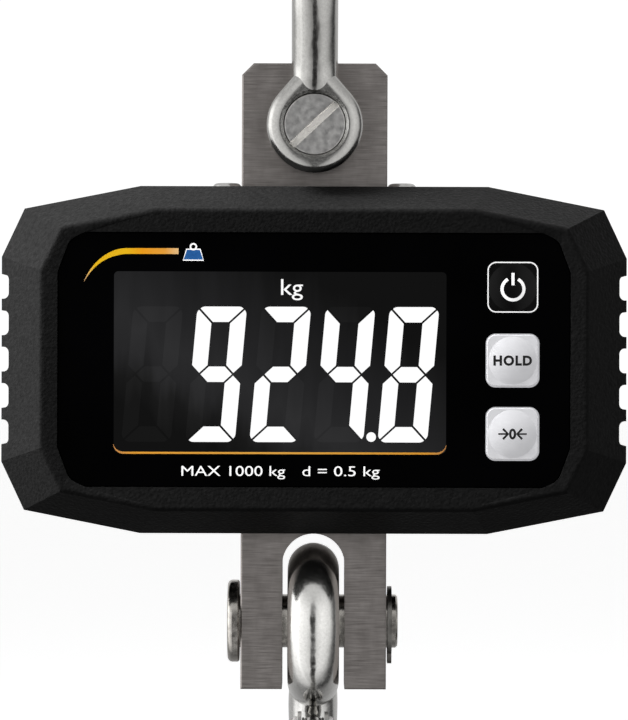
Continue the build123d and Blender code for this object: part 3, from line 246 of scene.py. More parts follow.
def forged_steel(name, tone, shade, seam_low, seam_high):
    """Polished drop forging: soft waves, fine pits, and the ground parting line at x = 0 between
    two heights. Round that line the colour is darker by shade, in long soft patches."""
    finish = Finish(name, metallic=1.0)
    waves = finish.noise(5.0, detail=1.0)
    fine = finish.noise(0.7, detail=4.0)
    wander = finish.scaled(finish.noise(6.0, detail=2.0), -0.5, 0.5)
    across = finish.maths("ABSOLUTE", finish.maths("ADD", finish.axis("X"), wander))
    blotch = finish.scaled(finish.noise(4.0, detail=2.0), 0.1, 1.0, 0.36, 0.54)
    height = finish.axis("Z")
    above = finish.scaled(height, 0.0, 1.0, seam_low, seam_low + SEAM_FADE)
    below = finish.scaled(height, 1.0, 0.0, seam_high - SEAM_FADE, seam_high)
    within = finish.maths("MULTIPLY", above, below)
    line = finish.scaled(across, 1.0, 0.0, 0.22, 0.8)
    line = finish.maths("MULTIPLY", finish.maths("MULTIPLY", line, blotch), within)
    patches = finish.scaled(finish.noise(5.0, (0.5, 1, 2), 2.0), 0.3, 1.0, 0.4, 0.6)
    seam_side_darkening = finish.maths("MULTIPLY", finish.scaled(across, shade, 0.0, 0.6, 2.6), patches)
    seam_side_darkening = finish.maths("MULTIPLY", seam_side_darkening, within)
    body = finish.ramp(fine, [(0.3, tone[0]), (0.7, tone[1])])
    body = finish.mixed(seam_side_darkening, body, SEAM_SIDE_GREY)
    finish.colour(finish.mixed(line, body, SEAM_GREY))
    finish.roughness(finish.scaled(fine, 0.13, 0.24))
    finish.bump(waves, 0.16, 0.6)
    finish.bump(fine, 0.006, 0.4)
    finish.bump(line, -0.05, 0.5)
    return finish.material


def brushed_bar():
    """Rolled bar, ground across: long fine streaks with faint blotches."""
    finish = Finish("brushed_bar_steel", metallic=1.0)
    streaks = finish.noise(0.34, (22, 14, 1), 5.0)
    broad = finish.noise(5.0, (0.8, 1, 1.6), 3.0)
    base = finish.ramp(streaks, [(0.25, "827d7a"), (0.75, "a5a09d")])
    finish.colour(finish.mixed(finish.scaled(broad, 0.0, 0.45), base, "706b68"))
    finish.roughness(finish.scaled(streaks, 0.34, 0.5))
    finish.bump(streaks, 0.02, 0.6)
    return finish.material


def turned_steel(name, axes, centre, tone, rough, face=None):
    """Lathe marks round an axis: axes are the two coordinates across it. Where face is given, what
    lies a little further back than that y is the inside of the milled slot, rougher, and near white
    as a painted highlight."""
    finish = Finish(name, metallic=1.0)
    offsets = [finish.maths("SUBTRACT", finish.axis(a), c) for a, c in zip(axes, centre)]
    squares = [finish.maths("POWER", finish.maths("ABSOLUTE", o), 2.0) for o in offsets]
    radius = finish.maths("SQRT", finish.maths("ADD", *squares))
    rings = finish.add("ShaderNodeTexNoise", noise_dimensions="1D")
    rings.inputs["Scale"].default_value = 3.2
    rings.inputs["Detail"].default_value = 3.0
    finish.join(radius, rings.inputs["W"])
    patches = finish.noise(1.5, detail=3.0)
    body = finish.ramp(patches, [(0.3, tone[0]), (0.7, tone[1])])
    gloss = finish.scaled(patches, *rough)
    if face is not None:
        sunk = finish.scaled(finish.axis("Y"), 0.0, 1.0, face + 0.3, face + 0.7)
        # The slot's inside is painted near white, a painted highlight, and made rougher.
        body = finish.mixed(sunk, body, SLOT_PAINTED_HIGHLIGHT)
        gloss = finish.maths("ADD", gloss, finish.maths("MULTIPLY", sunk, 0.5))
    finish.colour(body)
    finish.roughness(gloss)
    finish.bump(rings.outputs["Fac"], 0.012, 0.7)
    finish.bump(patches, 0.006, 0.4)
    return finish.material


# ------------------------------------------------------------------ plastics and the rest

def textured_plastic(name, dark, light, specular):
    """Moulding with a spark-eroded texture, slightly polished by handling."""
    finish = Finish(name, specular=specular)
    spark = finish.cells(0.72)
    fine = finish.noise(0.35, detail=4.0)
    handled = finish.noise(16.0, detail=2.0)
    finish.colour(finish.ramp(finish.noise(1.1, detail=4.0), [(0.3, dark), (0.7, light)]))
    finish.roughness(finish.scaled(handled, 0.42, 0.54))
    finish.bump(spark, -0.18, 0.6)
    finish.bump(fine, 0.03, 0.4)
    return finish.material


def lens_plastic():
    """Glossy panel printed black from behind, with faint wipe marks in its gloss."""
    finish = Finish("lens_gloss_black", specular=0.05)
    finish.colour(finish.ramp(finish.noise(30.0), [(0.3, "000000"), (0.7, "020203")]))
    finish.roughness(finish.scaled(finish.noise(14.0, (3, 1, 1)), 0.05, 0.10))
    finish.bump(finish.noise(40.0, detail=1.0), 0.02, 0.2)
    return finish.material


def key_plastic(name, dark, light, specular, rough, glow=0.0):
    """Moulded key. The light ones glow a little: painted light that brightens them."""
    finish = Finish(name, specular=specular)
    tone = finish.ramp(finish.noise(2.0), [(0.3, dark), (0.7, light)])
    finish.colour(tone)
    finish.emission(tone, glow)
    finish.roughness(finish.scaled(finish.noise(3.0), *rough))
    finish.bump(finish.noise(0.25, detail=3.0), 0.006, 0.4)
    return finish.material


def board_green():
    """Solder mask with the copper runs showing through as lighter lines."""
    finish = Finish("solder_mask_green", specular=0.5)
    runs = finish.add("ShaderNodeTexBrick", offset=0.5)
    runs.inputs["Scale"].default_value = 220.0
    runs.inputs["Mortar Size"].default_value = 0.03
    runs.inputs["Color1"].default_value = srgb("14532d")
    runs.inputs["Color2"].default_value = srgb("11482a")
    runs.inputs["Mortar"].default_value = srgb("2c7a48")
    turn = finish.add("ShaderNodeMapping")
    turn.inputs["Rotation"].default_value = (math.radians(90), 0, 0)
    finish.join(finish.place, turn.inputs["Vector"])
    finish.join(turn.outputs["Vector"], runs.inputs["Vector"])
    finish.colour(runs.outputs["Color"])
    finish.roughness(finish.scaled(finish.noise(3.0), 0.22, 0.34))
    finish.bump(runs.outputs["Fac"], 0.03, 0.5)
    return finish.material


def cell_jacket():
    """Shrink sleeve of the cells: black with grey-blue bands along x."""
    finish = Finish("cell_sleeve", specular=0.5)
    repeat = 25.0
    band = finish.maths("PINGPONG", finish.maths("ADD", finish.axis("X"), 8 * repeat), repeat)
    band = finish.maths("MULTIPLY", band, 1 / repeat)
    finish.colour(finish.ramp(band, [(0.2, "2b333d"), (0.24, "1c2026")]))
    finish.roughness(finish.scaled(finish.noise(6.0), 0.22, 0.36))
    finish.bump(finish.noise(2.0), 0.02, 0.3)
    return finish.material


def glowing(name, stops, strength=1.0, leaning=True):
    """Area of the display lit from behind. Its tone follows the leaning band of a painted highlight
    over the backlight's glow, or else only the clouds in it."""
    finish = Finish(name, specular=0.0)
    clouds = finish.noise(9.0, (0.5, 1, 3), 2.0)
    if leaning:
        side = finish.maths("MULTIPLY", finish.axis("X"), -PAINTED_HIGHLIGHT_LEAN[0])
        rise = finish.maths("MULTIPLY", finish.axis("Z"), -PAINTED_HIGHLIGHT_LEAN[1])
        below = finish.maths("ADD", side, rise)
        below = finish.maths("ADD", below, finish.scaled(clouds, -3.0, 3.0))
        along = finish.scaled(below, 0.0, 1.0, PAINTED_HIGHLIGHT_FROM, PAINTED_HIGHLIGHT_TO)
    else:
        along = clouds
    tone = finish.ramp(along, stops)
    finish.shader.inputs["Base Color"].default_value = (0, 0, 0, 1)
    finish.roughness(finish.scaled(clouds, 0.25, 0.35))
    finish.emission(tone, strength)
    return finish.material


def print_ink(name, stops, span=None, glow=0.0):
    """Screen printed ink. With a span, its colour runs along x from one end of it to the other."""
    finish = Finish(name, specular=0.3)
    if span:
        along = finish.scaled(finish.axis("X"), 0.0, 1.0, *span)
    else:
        along = finish.noise(1.5)
    tone = finish.ramp(along, stops)
    finish.colour(tone)
    finish.roughness(finish.scaled(finish.noise(1.0), 0.35, 0.5))
    finish.bump(finish.noise(0.3), 0.004, 0.3)
    # The ink's glow is painted light that brightens the print.
    if glow:
        finish.emission(tone, glow)
    return finish.material


def sheet_metal(name, dark, light, rough, stretch):
    """Rolled or machined metal with fine streaks drawn out by stretch along each axis."""
    finish = Finish(name, metallic=1.0)
    streaks = finish.noise(0.5, stretch, 4.0)
    finish.colour(finish.ramp(streaks, [(0.3, dark), (0.7, light)]))
    finish.roughness(finish.scaled(streaks, *rough))
    finish.bump(finish.noise(3.0), 0.04, 0.4)
    finish.bump(streaks, 0.01, 0.5)
    return finish.material


# ------------------------------------------------------------------ a material for every node

pin_middle = (middle("shackle_pin", 0), middle("shackle_pin", 2))
pin_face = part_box("shackle_pin")[0][1] / MM
clevis_middle = (middle("clevis_pin", 1), middle("clevis_pin", 2))
shackle_seam = (pin_middle[1] + 3.0, 20.0)
hook_seam = (-400.0, clevis_middle[1] + 6.0)

# One look for each material slot of the record.
looks = {
    "galvanised": forged_steel("forged_shackle_steel", ("b0afac", "bdbcb9"), 0.6, *shackle_seam),
    "forged_hook": forged_steel("forged_hook_steel", ("dcdbd8", "ebeae7"), 0.12, *hook_seam),
    "brushed_bar": brushed_bar(),
    "pin_steel": turned_steel("turned_pin_steel", "XZ", pin_middle, ("a9a8a7", "c4c3c1"),
                              (0.3, 0.42), pin_face),
    "ring_steel": grainy("ring_spring_steel", "6a6865", "8c8a86", (0.3, 0.42), 0.5, 0.02, 1.0),
    "gauge_foil": grainy("gauge_foil_copper", "9a6b3a", "c08a4c", (0.25, 0.4), 0.4, 0.01, 0.8),
    "cover_plate": sheet_metal("cover_sheet_steel", "8e8c89", "aaa8a5", (0.3, 0.42), (12, 1, 1)),
    "cable_grey": grainy("cable_jacket_grey", "3c3c3e", "4c4c4f", (0.45, 0.6), 0.6, 0.03),
    "block_alu": sheet_metal("milled_aluminium", "b8b8ba", "cfcfd1", (0.28, 0.4), (1, 10, 1)),
    "screw_steel": grainy("zinc_plated_steel", "8d8d90", "b0b0b2", (0.24, 0.38), 0.4, 0.01, 1.0),
    "polished_screw": grainy("polished_screw_steel", "c4c3c1", "dddcda", (0.12, 0.2), 0.6, 0.01,
                             1.0),
    "black_housing": textured_plastic("housing_textured_black", "1b1b1b", "252525", 0.04),
    "black_door": textured_plastic("door_textured_black", "1d1d1d", "272727", 0.04),
    "seal_rubber": grainy("seal_rubber_black", "0c0c0c", "161616", (0.6, 0.75), 0.5, 0.05,
                          specular=0.3),
    "insert_brass": sheet_metal("insert_brass", "b88a3c", "d8ad5e", (0.25, 0.38), (1, 6, 1)),
    "lens_black": lens_plastic(),
    "lcd_glass": grainy("display_glass_dark", "1a1b1d", "222427", (0.05, 0.1), 8.0, 0.005),
    "light_guide": grainy("light_guide_frosted", "d5d9de", "e4e7ea", (0.4, 0.55), 0.5, 0.03),
    "black_frame": textured_plastic("frame_moulded_black", "111111", "1b1b1b", 0.4),
    "black_key": key_plastic("key_black", "030303", "060606", 0.16, (0.2, 0.3)),
    # The light grey key glows a little: painted light that brightens it.
    "grey_key": key_plastic("key_light_grey", "dadadd", "e2e2e5", 0.3, (0.3, 0.42), 0.46),
    "switch_plastic": grainy("switch_moulded_black", "1c1c1c", "2a2a2a", (0.4, 0.55), 0.4, 0.03),
    "switch_metal": sheet_metal("switch_tinned_steel", "a2a2a0", "bcbcba", (0.28, 0.4), (8, 1, 1)),
    "board_green": board_green(),
    "chip_black": grainy("chip_epoxy_black", "161616", "232323", (0.45, 0.6), 0.3, 0.04),
    "cell_jacket": cell_jacket(),
    "contact_plate": sheet_metal("contact_nickel", "b4b2ab", "cfcdc6", (0.2, 0.32), (1, 1, 8)),
    "wire_red": grainy("wire_insulation_red", "8a1712", "a3221b", (0.35, 0.5), 0.8, 0.02),
    "label_silver": sheet_metal("label_satin_aluminium", "a8a8a8", "bdbdbd", (0.35, 0.48),
                                (16, 1, 1)),
    "latch_sheet": sheet_metal("latch_zinc_sheet", "9a9997", "bbbab8", (0.26, 0.4), (1, 1, 10)),
    "spring_wire": grainy("spring_wire_steel", "7c7b79", "9c9b99", (0.2, 0.32), 0.5, 0.01, 1.0),
}
# The clevis pin is turned steel too, but its lathe marks run round its own axis.
own_looks = {"clevis_pin": turned_steel("turned_clevis_steel", "YZ", clevis_middle,
                                        ("b0aca6", "cfcbc5"), (0.16, 0.28))}

for part in frame["record"]["subparts"]:
    look = own_looks.get(part["node"]) or looks[part["material_slot"]]
    mesh = nodes[part["node"]].data
    mesh.materials.clear()
    mesh.materials.append(look)


# ------------------------------------------------------------------ thin printed pieces

PRINT_THICK = 0.04
DRAPED_EDGE = 0.9      # longest edge of a piece that follows a domed surface
DRAPED_PASSES = 4


def key_surface(centre_x, centre_z):
    """Y of the domed top of a key, as a function of x and z."""
    def height(x, z):
        square = (x - centre_x) ** 2 + (z - centre_z) ** 2
        if square >= KEY_DOME_REACH ** 2:
            return KEY_FLAT_Y
        return KEY_FLAT_Y - KEY_DOME_HEIGHT + DOME_RADIUS - math.sqrt(DOME_RADIUS ** 2 - square)
    return height


def printed(name, polygons, look, body="scale_body", surface=None, level=LENS_Y, proud=0.02,
            thick=PRINT_THICK):
    """A thin closed piece from flat polygons in x and z. It lies at level, or on surface(x, z), and
    stands proud of it towards -y. On a face that looks towards +y both depths are negative."""
    bm = bmesh.new()
    for polygon in polygons:
        bm.faces.new([bm.verts.new((x, 0.0, z)) for x, z in polygon])
    bmesh.ops.remove_doubles(bm, verts=bm.verts, dist=0.001)
    bmesh.ops.triangulate(bm, faces=bm.faces)
    if surface:
        for _ in range(DRAPED_PASSES):
            long_edges = [e for e in bm.edges if e.calc_length() > DRAPED_EDGE]
            if not long_edges:
                break
            bmesh.ops.subdivide_edges(bm, edges=long_edges, cuts=1)
            bmesh.ops.triangulate(bm, faces=bm.faces)
    lifted = bmesh.ops.extrude_face_region(bm, geom=list(bm.faces))["geom"]
    bottom = {v for v in lifted if isinstance(v, bmesh.types.BMVert)}
    for v in bm.verts:
        base = surface(v.co.x, v.co.z) if surface else level
        v.co.y = base - proud + (thick if v in bottom else 0.0)
    bmesh.ops.recalc_face_normals(bm, faces=bm.faces)
    bmesh.ops.scale(bm, vec=(MM,) * 3, verts=bm.verts)
    mesh = bpy.data.meshes.new(name)
    bm.to_mesh(mesh)
    bm.free()
    mesh.materials.append(look)
    piece = bpy.data.objects.new(name, mesh)
    scene.collection.objects.link(piece)
    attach(piece, body)


def arc(x, z, radius, start, end, count=10):
    """Points on an arc, angles in degrees from +x towards +z."""
    turns = [math.radians(start + (end - start) * i / count) for i in range(count + 1)]
    return [(x + radius * math.cos(t), z + radius * math.sin(t)) for t in turns]


def rounded(x0, x1, z0, z1, radius):
    """Outline of a rectangle with round corners."""
    left, right = x0 + radius, x1 - radius
    bottom, top = z0 + radius, z1 - radius
    centres = ((right, top), (left, top), (left, bottom), (right, bottom))
    return [point for turn, (x, z) in enumerate(centres)
            for point in arc(x, z, radius, 90 * turn, 90 * turn + 90)]


def band(points, widths, closed=False):
    """Quads along a line of points. widths is one width for all points, or a list of them."""
    count = len(points)
    widths = widths if isinstance(widths, list) else [widths] * count
    sides = []
    for i, (x, z) in enumerate(points):
        before = points[i - 1] if i or closed else points[0]
        after = points[(i + 1) % count] if i + 1 < count or closed else points[-1]
        run = Vector((after[0] - before[0], after[1] - before[1])).normalized()
        off = Vector((-run.y, run.x)) * widths[i] / 2
        sides.append(((x + off.x, z + off.y), (x - off.x, z - off.y)))
    pairs = list(zip(sides, sides[1:])) + ([(sides[-1], sides[0])] if closed else [])
    return [[a[0], a[1], b[1], b[0]] for a, b in pairs]


def moved(polygons, dx, dz):
    return [[(x + dx, z + dz) for x, z in polygon] for polygon in polygons]


def lettering(text, x0, x1, z0, z1, weight=0.0, spacing=1.0):
    """Polygons of a line of text that fills the given rectangle, bolder by weight."""
    curve = bpy.data.curves.new("text", "FONT")
    curve.body = text
    curve.offset = weight
    curve.space_character = spacing
    curve.resolution_u = 4
    helper = bpy.data.objects.new("text", curve)
    scene.collection.objects.link(helper)
    bpy.context.view_layer.update()
    evaluated = helper.evaluated_get(bpy.context.evaluated_depsgraph_get())
    mesh = bpy.data.meshes.new_from_object(evaluated)
    xs = [v.co.x for v in mesh.vertices]
    ys = [v.co.y for v in mesh.vertices]
    wide = (x1 - x0) / (max(xs) - min(xs))
    tall = (z1 - z0) / (max(ys) - min(ys))
    spots = [(x0 + (x - min(xs)) * wide, z0 + (y - min(ys)) * tall) for x, y in zip(xs, ys)]
    polygons = [[spots[i] for i in face.vertices] for face in mesh.polygons]
    bpy.data.objects.remove(helper)
    bpy.data.meshes.remove(mesh)
    return polygons


# ------------------------------------------------------------------ display

WINDOW_LEFT, WINDOW_RIGHT = -51.3, 33.9
WINDOW = (WINDOW_LEFT, WINDOW_RIGHT, CASE_Z - 23.8, CASE_Z + 22.6)
WINDOW_CORNER = 1.1

# Seven segment digits. Segment a is the top bar, b to f follow clockwise, and g is the middle one.
DIGIT_WIDE = 12.7
DIGIT_TALL = 34.7
DIGIT_BOTTOM = CASE_Z - 21.07
SEGMENT = 3.95
SEGMENT_GAP = 0.36
DIGIT_CORNER = 1.7
SLANT = 0.088
DIGIT_RIGHTS = (-33.6, -17.2, -0.75, 15.7, 32.1)
LIT = ("", "abcdfg", "abdeg", "bcfg", "abcdefg")
POINT_X, POINT_Z = 14.7, CASE_Z - 19.7
POINT_RADIUS = 1.23
UNIT_BOX = (-8.5, -2.9, CASE_Z + 15.3, CASE_Z + 20.7)


def segment(letter):
    """Outline of one segment of an upright digit whose lower left corner is at 0, 0."""
    wide, tall, bar, gap, corner = DIGIT_WIDE, DIGIT_TALL, SEGMENT, SEGMENT_GAP, DIGIT_CORNER
    half = tall / 2
    if letter == "g":
        return [(bar / 2 + gap, half), (bar + gap, half + bar / 2),
                (wide - bar - gap, half + bar / 2), (wide - bar / 2 - gap, half),
                (wide - bar - gap, half - bar / 2), (bar + gap, half - bar / 2)]
    if letter in "ad":
        left = [(x + gap, z) for x, z in arc(corner, tall - corner, corner, 135, 90, 4)]
        right = [(wide - x, z) for x, z in reversed(left)]
        points = left + right + [(wide - bar - gap, tall - bar), (bar + gap, tall - bar)]
    else:
        outer = [(x, z - gap) for x, z in arc(corner, tall - corner, corner, 135, 180, 4)]
        points = outer + [(0, half + bar / 2 + gap), (bar / 2, half + gap),
                          (bar, half + bar / 2 + gap), (bar, tall - bar - gap)]
    if letter in "bc":
        points = [(wide - x, z) for x, z in points]
    if letter in "cde":
        points = [(x, tall - z) for x, z in points]
    return points


def slanted(polygon, right):
    """Leans a digit's outline over and puts its top right corner at x = right."""
    return [(right - DIGIT_WIDE + x - SLANT * (DIGIT_TALL - z), DIGIT_BOTTOM + z)
            for x, z in polygon]


# Tones of the window and of the unlit segments along the leaning band: a painted highlight,
# brightest in its middle.
highlight_band_steps = (0.0, 0.48, 0.65, 0.76, 0.87, 1.0)
window_tones = ("121212", "242425", "2a2a2b", "262627", "191919", "121212")
ghost_tones = ("161616", "29292a", "2f2f30", "2b2b2c", "1e1e1e", "171717")
lcd_window = glowing("lcd_window_glow_and_highlight", list(zip(highlight_band_steps, window_tones)))
lcd_ghost = glowing("lcd_ghost_glow_and_highlight", list(zip(highlight_band_steps, ghost_tones)))
lcd_white = glowing("lcd_lit_glow", [(0.3, "fafafa"), (0.7, "ffffff")], 1.05, leaning=False)
# The white, amber, accent and blue inks glow: painted light that brightens the print.
white_ink = print_ink("white_print", [(0.3, "f2f2f2"), (0.7, "fbfbfb")], glow=0.7)
black_ink = print_ink("black_print", [(0.3, "060606"), (0.7, "0e0e0e")])
amber_stops = [(0.0, "c98d52"), (0.06, "f0a63a"), (0.5, "f3b14c"), (0.94, "f0a63a"),
               (1.0, "c98d52")]
accent_stops = [(0.0, "e9b98a"), (0.12, "edbb1f"), (0.45, "f2bd1c"), (0.62, "f5a21c"),
                (0.85, "f0a63e"), (1.0, "f4c98e")]
amber_ink = print_ink("amber_print", amber_stops, (WINDOW_LEFT, WINDOW_RIGHT), glow=0.3)
accent_ink = print_ink("accent_print", accent_stops, (-59.3, -34.6), glow=0.3)
blue_ink = print_ink("blue_print", [(0.3, "235a9c"), (0.7, "2d66a8")], glow=0.3)

printed("lcd_window", [rounded(*WINDOW, WINDOW_CORNER)], lcd_window, proud=0.01)
lit, dark = [], []
for right, letters in zip(DIGIT_RIGHTS, LIT):
    for letter in "abcdefg":
        (lit if letter in letters else dark).append(slanted(segment(letter), right))
lit.append(arc(POINT_X, POINT_Z, POINT_RADIUS, 0, 350, 35))
printed("lcd_lit_segments", lit, lcd_white, proud=0.025)
printed("lcd_dark_segments", dark, lcd_ghost, proud=0.02)
printed("lcd_unit", lettering("kg", *UNIT_BOX), lcd_white, proud=0.025)

# Amber line under the window. It curls up and thins out round the window's two lower corners.
CURL = 2.6
CURL_OUT = 0.1
CURL_STEPS = 10
curl_z = CASE_Z - 23.9 + CURL
left_curl = arc(WINDOW_LEFT + CURL - CURL_OUT, curl_z, CURL, 190, 270, CURL_STEPS)
right_curl = arc(WINDOW_RIGHT - CURL + CURL_OUT, curl_z, CURL, 270, 350, CURL_STEPS)
taper = [0.12 + 0.4 * min(1.0, i / 8) for i in range(CURL_STEPS + 1)]
printed("amber_line", band(left_curl + right_curl, taper + taper[::-1]), amber_ink)

# Accent stroke: it rises from a point along an arc that is squeezed sideways, and ends straight.
ACCENT_X = -47.7
ACCENT_SQUEEZE = 0.86
ACCENT_STEPS = 24
rise = arc(ACCENT_X, CASE_Z + 12.9, 14.9, 152, 90, ACCENT_STEPS)
accent = [(ACCENT_X + (x - ACCENT_X) * ACCENT_SQUEEZE, z) for x, z in rise]
accent.append((-34.8, CASE_Z + 27.8))
accent_widths = [0.05 + 1.45 * min(1.0, i / 19) for i in range(ACCENT_STEPS + 1)] + [1.5]
printed("accent_line", band(accent, accent_widths), accent_ink)

# Pictogram of a weight with its ring.
WEIGHT_PLACE = (-31.0, CASE_Z + 27.2)
weight_body = [(-2.6, -1.7), (2.6, -1.7), (1.75, 1.1), (-1.75, 1.1)]
weight_outline = moved(band(weight_body, 0.34, closed=True), *WEIGHT_PLACE)
weight_ring = moved(band(arc(0, 1.75, 0.75, 0, 345, 23), 0.4, closed=True), *WEIGHT_PLACE)
printed("weight_mark", moved([weight_body], *WEIGHT_PLACE), blue_ink)
printed("weight_mark_line", weight_outline, white_ink, proud=0.03)
printed("weight_mark_ring", weight_ring, white_ink, proud=0.035)

LEGEND_ROW = (CASE_Z - 30.6, CASE_Z - 27.2)
LEGENDS = (("capacity_legend", "MAX 1000 kg", -33.9, -7.3),
           ("division_legend", "d = 0.5 kg", -2.9, 16.9))
for name, text, x0, x1 in LEGENDS:
    printed(name, lettering(text, x0, x1, *LEGEND_ROW), white_ink)


# ------------------------------------------------------------------ rating plate

PLATE_MARGIN = 1.4
PLATE_CORNER = 1.2
PLATE_LINE = 0.3
PLATE_ROWS = 4
plate_low, plate_high = [[c / MM for c in corner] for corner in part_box("rating_plate")]
plate_left, plate_bottom = plate_low[0], plate_low[2]
plate_right, plate_top = plate_high[0], plate_high[2]
plate_edge = rounded(plate_left + PLATE_MARGIN, plate_right - PLATE_MARGIN,
                     plate_bottom + PLATE_MARGIN, plate_top - PLATE_MARGIN, PLATE_CORNER)
plate_marks = [("rating_plate_border", band(plate_edge, PLATE_LINE, closed=True))]
for row in range(1, PLATE_ROWS):
    row_z = plate_bottom + (plate_top - plate_bottom) * row / PLATE_ROWS
    ends = [(plate_left + 2 * PLATE_MARGIN, row_z), (plate_right - 2 * PLATE_MARGIN, row_z)]
    plate_marks.append(("rating_plate_rule_%d" % row, band(ends, PLATE_LINE)))
for name, mark in plate_marks:
    printed(name, mark, black_ink, level=PLATE_Y, proud=-0.02,
            thick=-PRINT_THICK)


# ------------------------------------------------------------------ key legends

key_x = middle("hold_key", 0)


def legend(name, polygons, key):
    """Puts polygons, drawn round 0, 0, on the top of the power, hold or zero key."""
    z = middle(key + "_key", 2)
    ink, slot = (white_ink, "black_key") if key == "power" else (black_ink, "grey_key")
    printed(name, moved(polygons, key_x, z), ink, key + "_button", key_surface(key_x, z))


OUTLINE_HALF = 6.35
OUTLINE_CORNER = 2.1
OUTLINE_LINE = 0.3
POWER_RADIUS = 2.8
POWER_DROP = 0.47      # the ring's centre lies this far under the key's
POWER_LINE = 0.8
POWER_BAR_HALF = 0.38
outline = rounded(-OUTLINE_HALF, OUTLINE_HALF, -OUTLINE_HALF, OUTLINE_HALF, OUTLINE_CORNER)
power_ring = arc(0, -POWER_DROP, POWER_RADIUS, 118, 422, 40)
power_bar = [(-POWER_BAR_HALF, 0.5), (POWER_BAR_HALF, 0.5),
             (POWER_BAR_HALF, 3.65), (-POWER_BAR_HALF, 3.65)]
legend("power_outline", band(outline, OUTLINE_LINE, closed=True), "power")
legend("power_ring", band(power_ring, POWER_LINE), "power")
legend("power_bar", [power_bar], "power")

HOLD_HALF = (4.95, 1.33)
hold_box = (-HOLD_HALF[0], HOLD_HALF[0], -HOLD_HALF[1], HOLD_HALF[1])
legend("hold_word", lettering("HOLD", *hold_box, weight=0.045, spacing=1.16), "hold")

# A nought between two arrows. side is 1 for the arrow on the left, which points right.
ZERO_HALF = (0.62, 1.1)
ZERO_LINE = 0.58
ARROW_SHAFT = (3.65, 1.35)
ARROW_SHAFT_LINE = 0.42
ARROW_BARB = (2.45, 1.3)
ARROW_TIP = 1.17
zero_ring = [(ZERO_HALF[0] * x, ZERO_HALF[1] * z) for x, z in arc(0, 0, 1.0, 0, 350, 35)]
legend("zero_digit", band(zero_ring, ZERO_LINE, closed=True), "zero")
for name, side in (("zero_arrow_left", 1), ("zero_arrow_right", -1)):
    shaft = [(-x * side, 0) for x in ARROW_SHAFT]
    barb_x = -ARROW_BARB[0] * side
    head = [(barb_x, ARROW_BARB[1]), (-ARROW_TIP * side, 0), (barb_x, -ARROW_BARB[1])]
    legend(name + "_shaft", band(shaft, ARROW_SHAFT_LINE), "zero")
    legend(name + "_head", band(head, ZERO_LINE), "zero")


# ------------------------------------------------------------------ studio
# Lengths from here on are in metres.

FLOOR_REACH = 14.0
FLOOR_BELOW = 0.05     # under the lowest point of the hook
FLOOR_GLOW = 0.86

# Light that the shiny surfaces reflect, by direction: 0 degrees is straight ahead of the scale's
# front, -90 is its left and 90 its right.
AROUND = ((-180, 0.32), (-125, 0.30), (-112, 0.60), (-104, 1.0), (-76, 1.0), (-68, 0.62),
          (-30, 0.50), (-13, 0.40), (-6, 0.07), (6, 0.07), (13, 0.42), (40, 0.52), (80, 0.40),
          (96, 0.14), (104, 0.05), (116, 0.05), (124, 0.30), (180, 0.32))
# It is dimmed by height, from straight down at 0 to straight up at 1, and the dimming gives way
# towards the front, from straight behind at 0 to straight ahead at 1.
BY_HEIGHT = ((0.0, 0.22), (0.2, 0.45), (0.42, 0.7), (0.5, 1.0), (1.0, 1.0))
TO_FRONT = ((0.48, 0.01), (0.70, 0.75))
# High up, all of that gives way to one level.
HIGH_UP = ((0.0, 0.0), (0.66, 0.0), (0.86, 1.0), (1.0, 1.0))
HIGH_LEVEL = 0.30
REFLECTED = 2.2        # times all of that
MATT_LOSS = 0.97       # share of it that the matt surfaces don't get
BACKDROP = 1.05        # what the camera sees of the world

# Lamps that shade the matt surfaces: name, place, size and watts.
LAMPS = (
    ("left_box", (-0.36, -0.12, 0.05), (0.2, 0.3), 1.3),
    ("top_box", (-0.42, -0.07, 0.40), (0.3, 0.3), 11.0),
    ("right_box", (0.6, -0.12, 0.1), (0.3, 0.5), 0.9),
    ("back_box", (0.35, 0.5, 0.25), (0.4, 0.5), 9.0),
)

CAMERA_AWAY = 1.0
CAMERA_LENS = 189.8    # millimetres, as is the sensor
CAMERA_SENSOR = 36.0
CAMERA_ROLL = math.radians(-0.17)


def floor():
    """A wide pale floor below the hook. It takes the object's shadow and sends no light back."""
    finish = Finish("floor_white", specular=0.1)
    finish.colour(finish.ramp(finish.noise(400.0), [(0.3, "f4f4f4"), (0.7, "f7f7f7")]))
    finish.shader.inputs["Roughness"].default_value = 0.9
    finish.shader.inputs["Emission Color"].default_value = (1, 1, 1, 1)
    finish.shader.inputs["Emission Strength"].default_value = FLOOR_GLOW
    height = cad_low.z - FLOOR_BELOW
    signs = ((-1, -1), (1, -1), (1, 1), (-1, 1))
    corners = [(x * FLOOR_REACH, y * FLOOR_REACH, height) for x, y in signs]
    mesh = bpy.data.meshes.new("floor")
    mesh.from_pydata(corners, [], [(0, 1, 2, 3)])
    mesh.materials.append(finish.material)
    plane = bpy.data.objects.new("floor", mesh)
    scene.collection.objects.link(plane)
    plane.visible_diffuse = False
    plane.visible_glossy = False


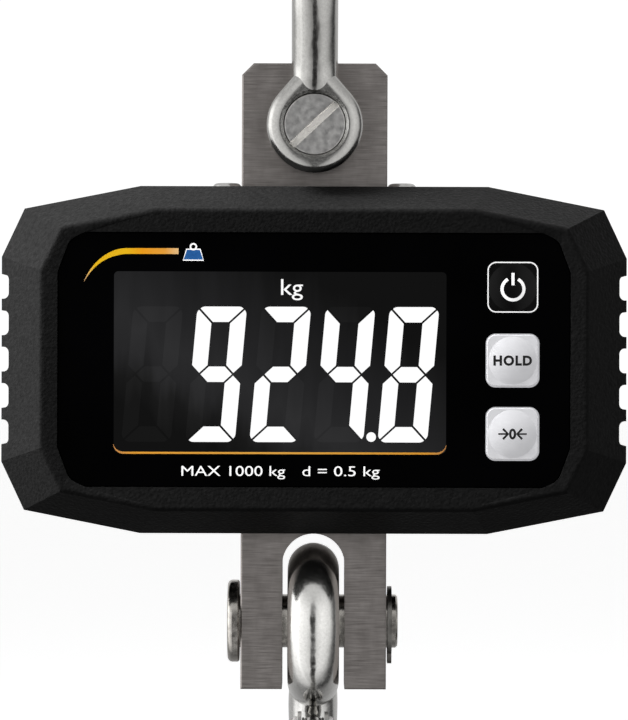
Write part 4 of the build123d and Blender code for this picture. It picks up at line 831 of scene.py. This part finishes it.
def studio_world():
    """Even white to look at. What the metals reflect is a tall bank of light on the left, a weaker
    one on the right, and little from below and from straight ahead."""
    world = bpy.data.worlds.new("studio")
    world.use_nodes = True
    scene.world = world
    tree = world.node_tree

    def levels(value, stops):
        return colour_ramp(tree, value, [(at, (level, level, level, 1)) for at, level in stops])

    def times(first, second):
        return calculate(tree, "MULTIPLY", first, second)

    def plus(first, second):
        return calculate(tree, "ADD", first, second)

    def rest(value):
        return calculate(tree, "SUBTRACT", 1.0, value)

    parts = add_node(tree, "ShaderNodeSeparateXYZ")
    tree.links.new(add_node(tree, "ShaderNodeTexCoord").outputs["Generated"], parts.inputs[0])
    east, north, up = parts.outputs
    turn = calculate(tree, "ARCTAN2", east, times(north, -1.0))
    turn = plus(calculate(tree, "DIVIDE", turn, 2 * math.pi), 0.5)
    around = levels(turn, [((degrees + 180) / 360, level) for degrees, level in AROUND])
    height = plus(times(up, 0.5), 0.5)
    dimmed = levels(height, BY_HEIGHT)
    overhead = levels(height, HIGH_UP)
    ahead = levels(plus(times(north, -0.5), 0.5), TO_FRONT)
    side = times(around, plus(dimmed, times(ahead, rest(dimmed))))
    light = plus(times(side, rest(overhead)), times(overhead, HIGH_LEVEL))
    light = times(light, REFLECTED)
    paths = add_node(tree, "ShaderNodeLightPath").outputs
    light = times(light, rest(times(paths["Is Diffuse Ray"], MATT_LOSS)))
    seen = paths["Is Camera Ray"]
    total = plus(times(light, rest(seen)), times(seen, BACKDROP))
    tree.links.new(total, tree.nodes["Background"].inputs["Color"])


def soft_box(name, place, size, watts):
    """A lamp aimed at the housing. The shiny surfaces reflect the world's banks, not the lamp."""
    light = bpy.data.lights.new(name, "AREA")
    light.shape = "RECTANGLE"
    light.size, light.size_y = size
    light.energy = watts
    lamp = bpy.data.objects.new(name, light)
    scene.collection.objects.link(lamp)
    lamp.location = place
    lamp.rotation_mode = "QUATERNION"
    aim = Vector((0, 0, CASE_Z * MM))
    lamp.rotation_quaternion = (aim - Vector(place)).to_track_quat("-Z", "Y")
    lamp.visible_glossy = False


def look_through_camera():
    """Level with the middle of the housing, straight in front of it."""
    data = bpy.data.cameras.new("camera")
    data.lens = CAMERA_LENS
    data.sensor_width = CAMERA_SENSOR
    camera = bpy.data.objects.new("camera", data)
    camera.location = (0.0, -CAMERA_AWAY, CASE_Z * MM)
    camera.rotation_euler = (math.pi / 2, CAMERA_ROLL, 0.0)
    scene.collection.objects.link(camera)
    scene.camera = camera


floor()
studio_world()
for lamp_settings in LAMPS:
    soft_box(*lamp_settings)
look_through_camera()
scene.view_settings.view_transform = "Standard"
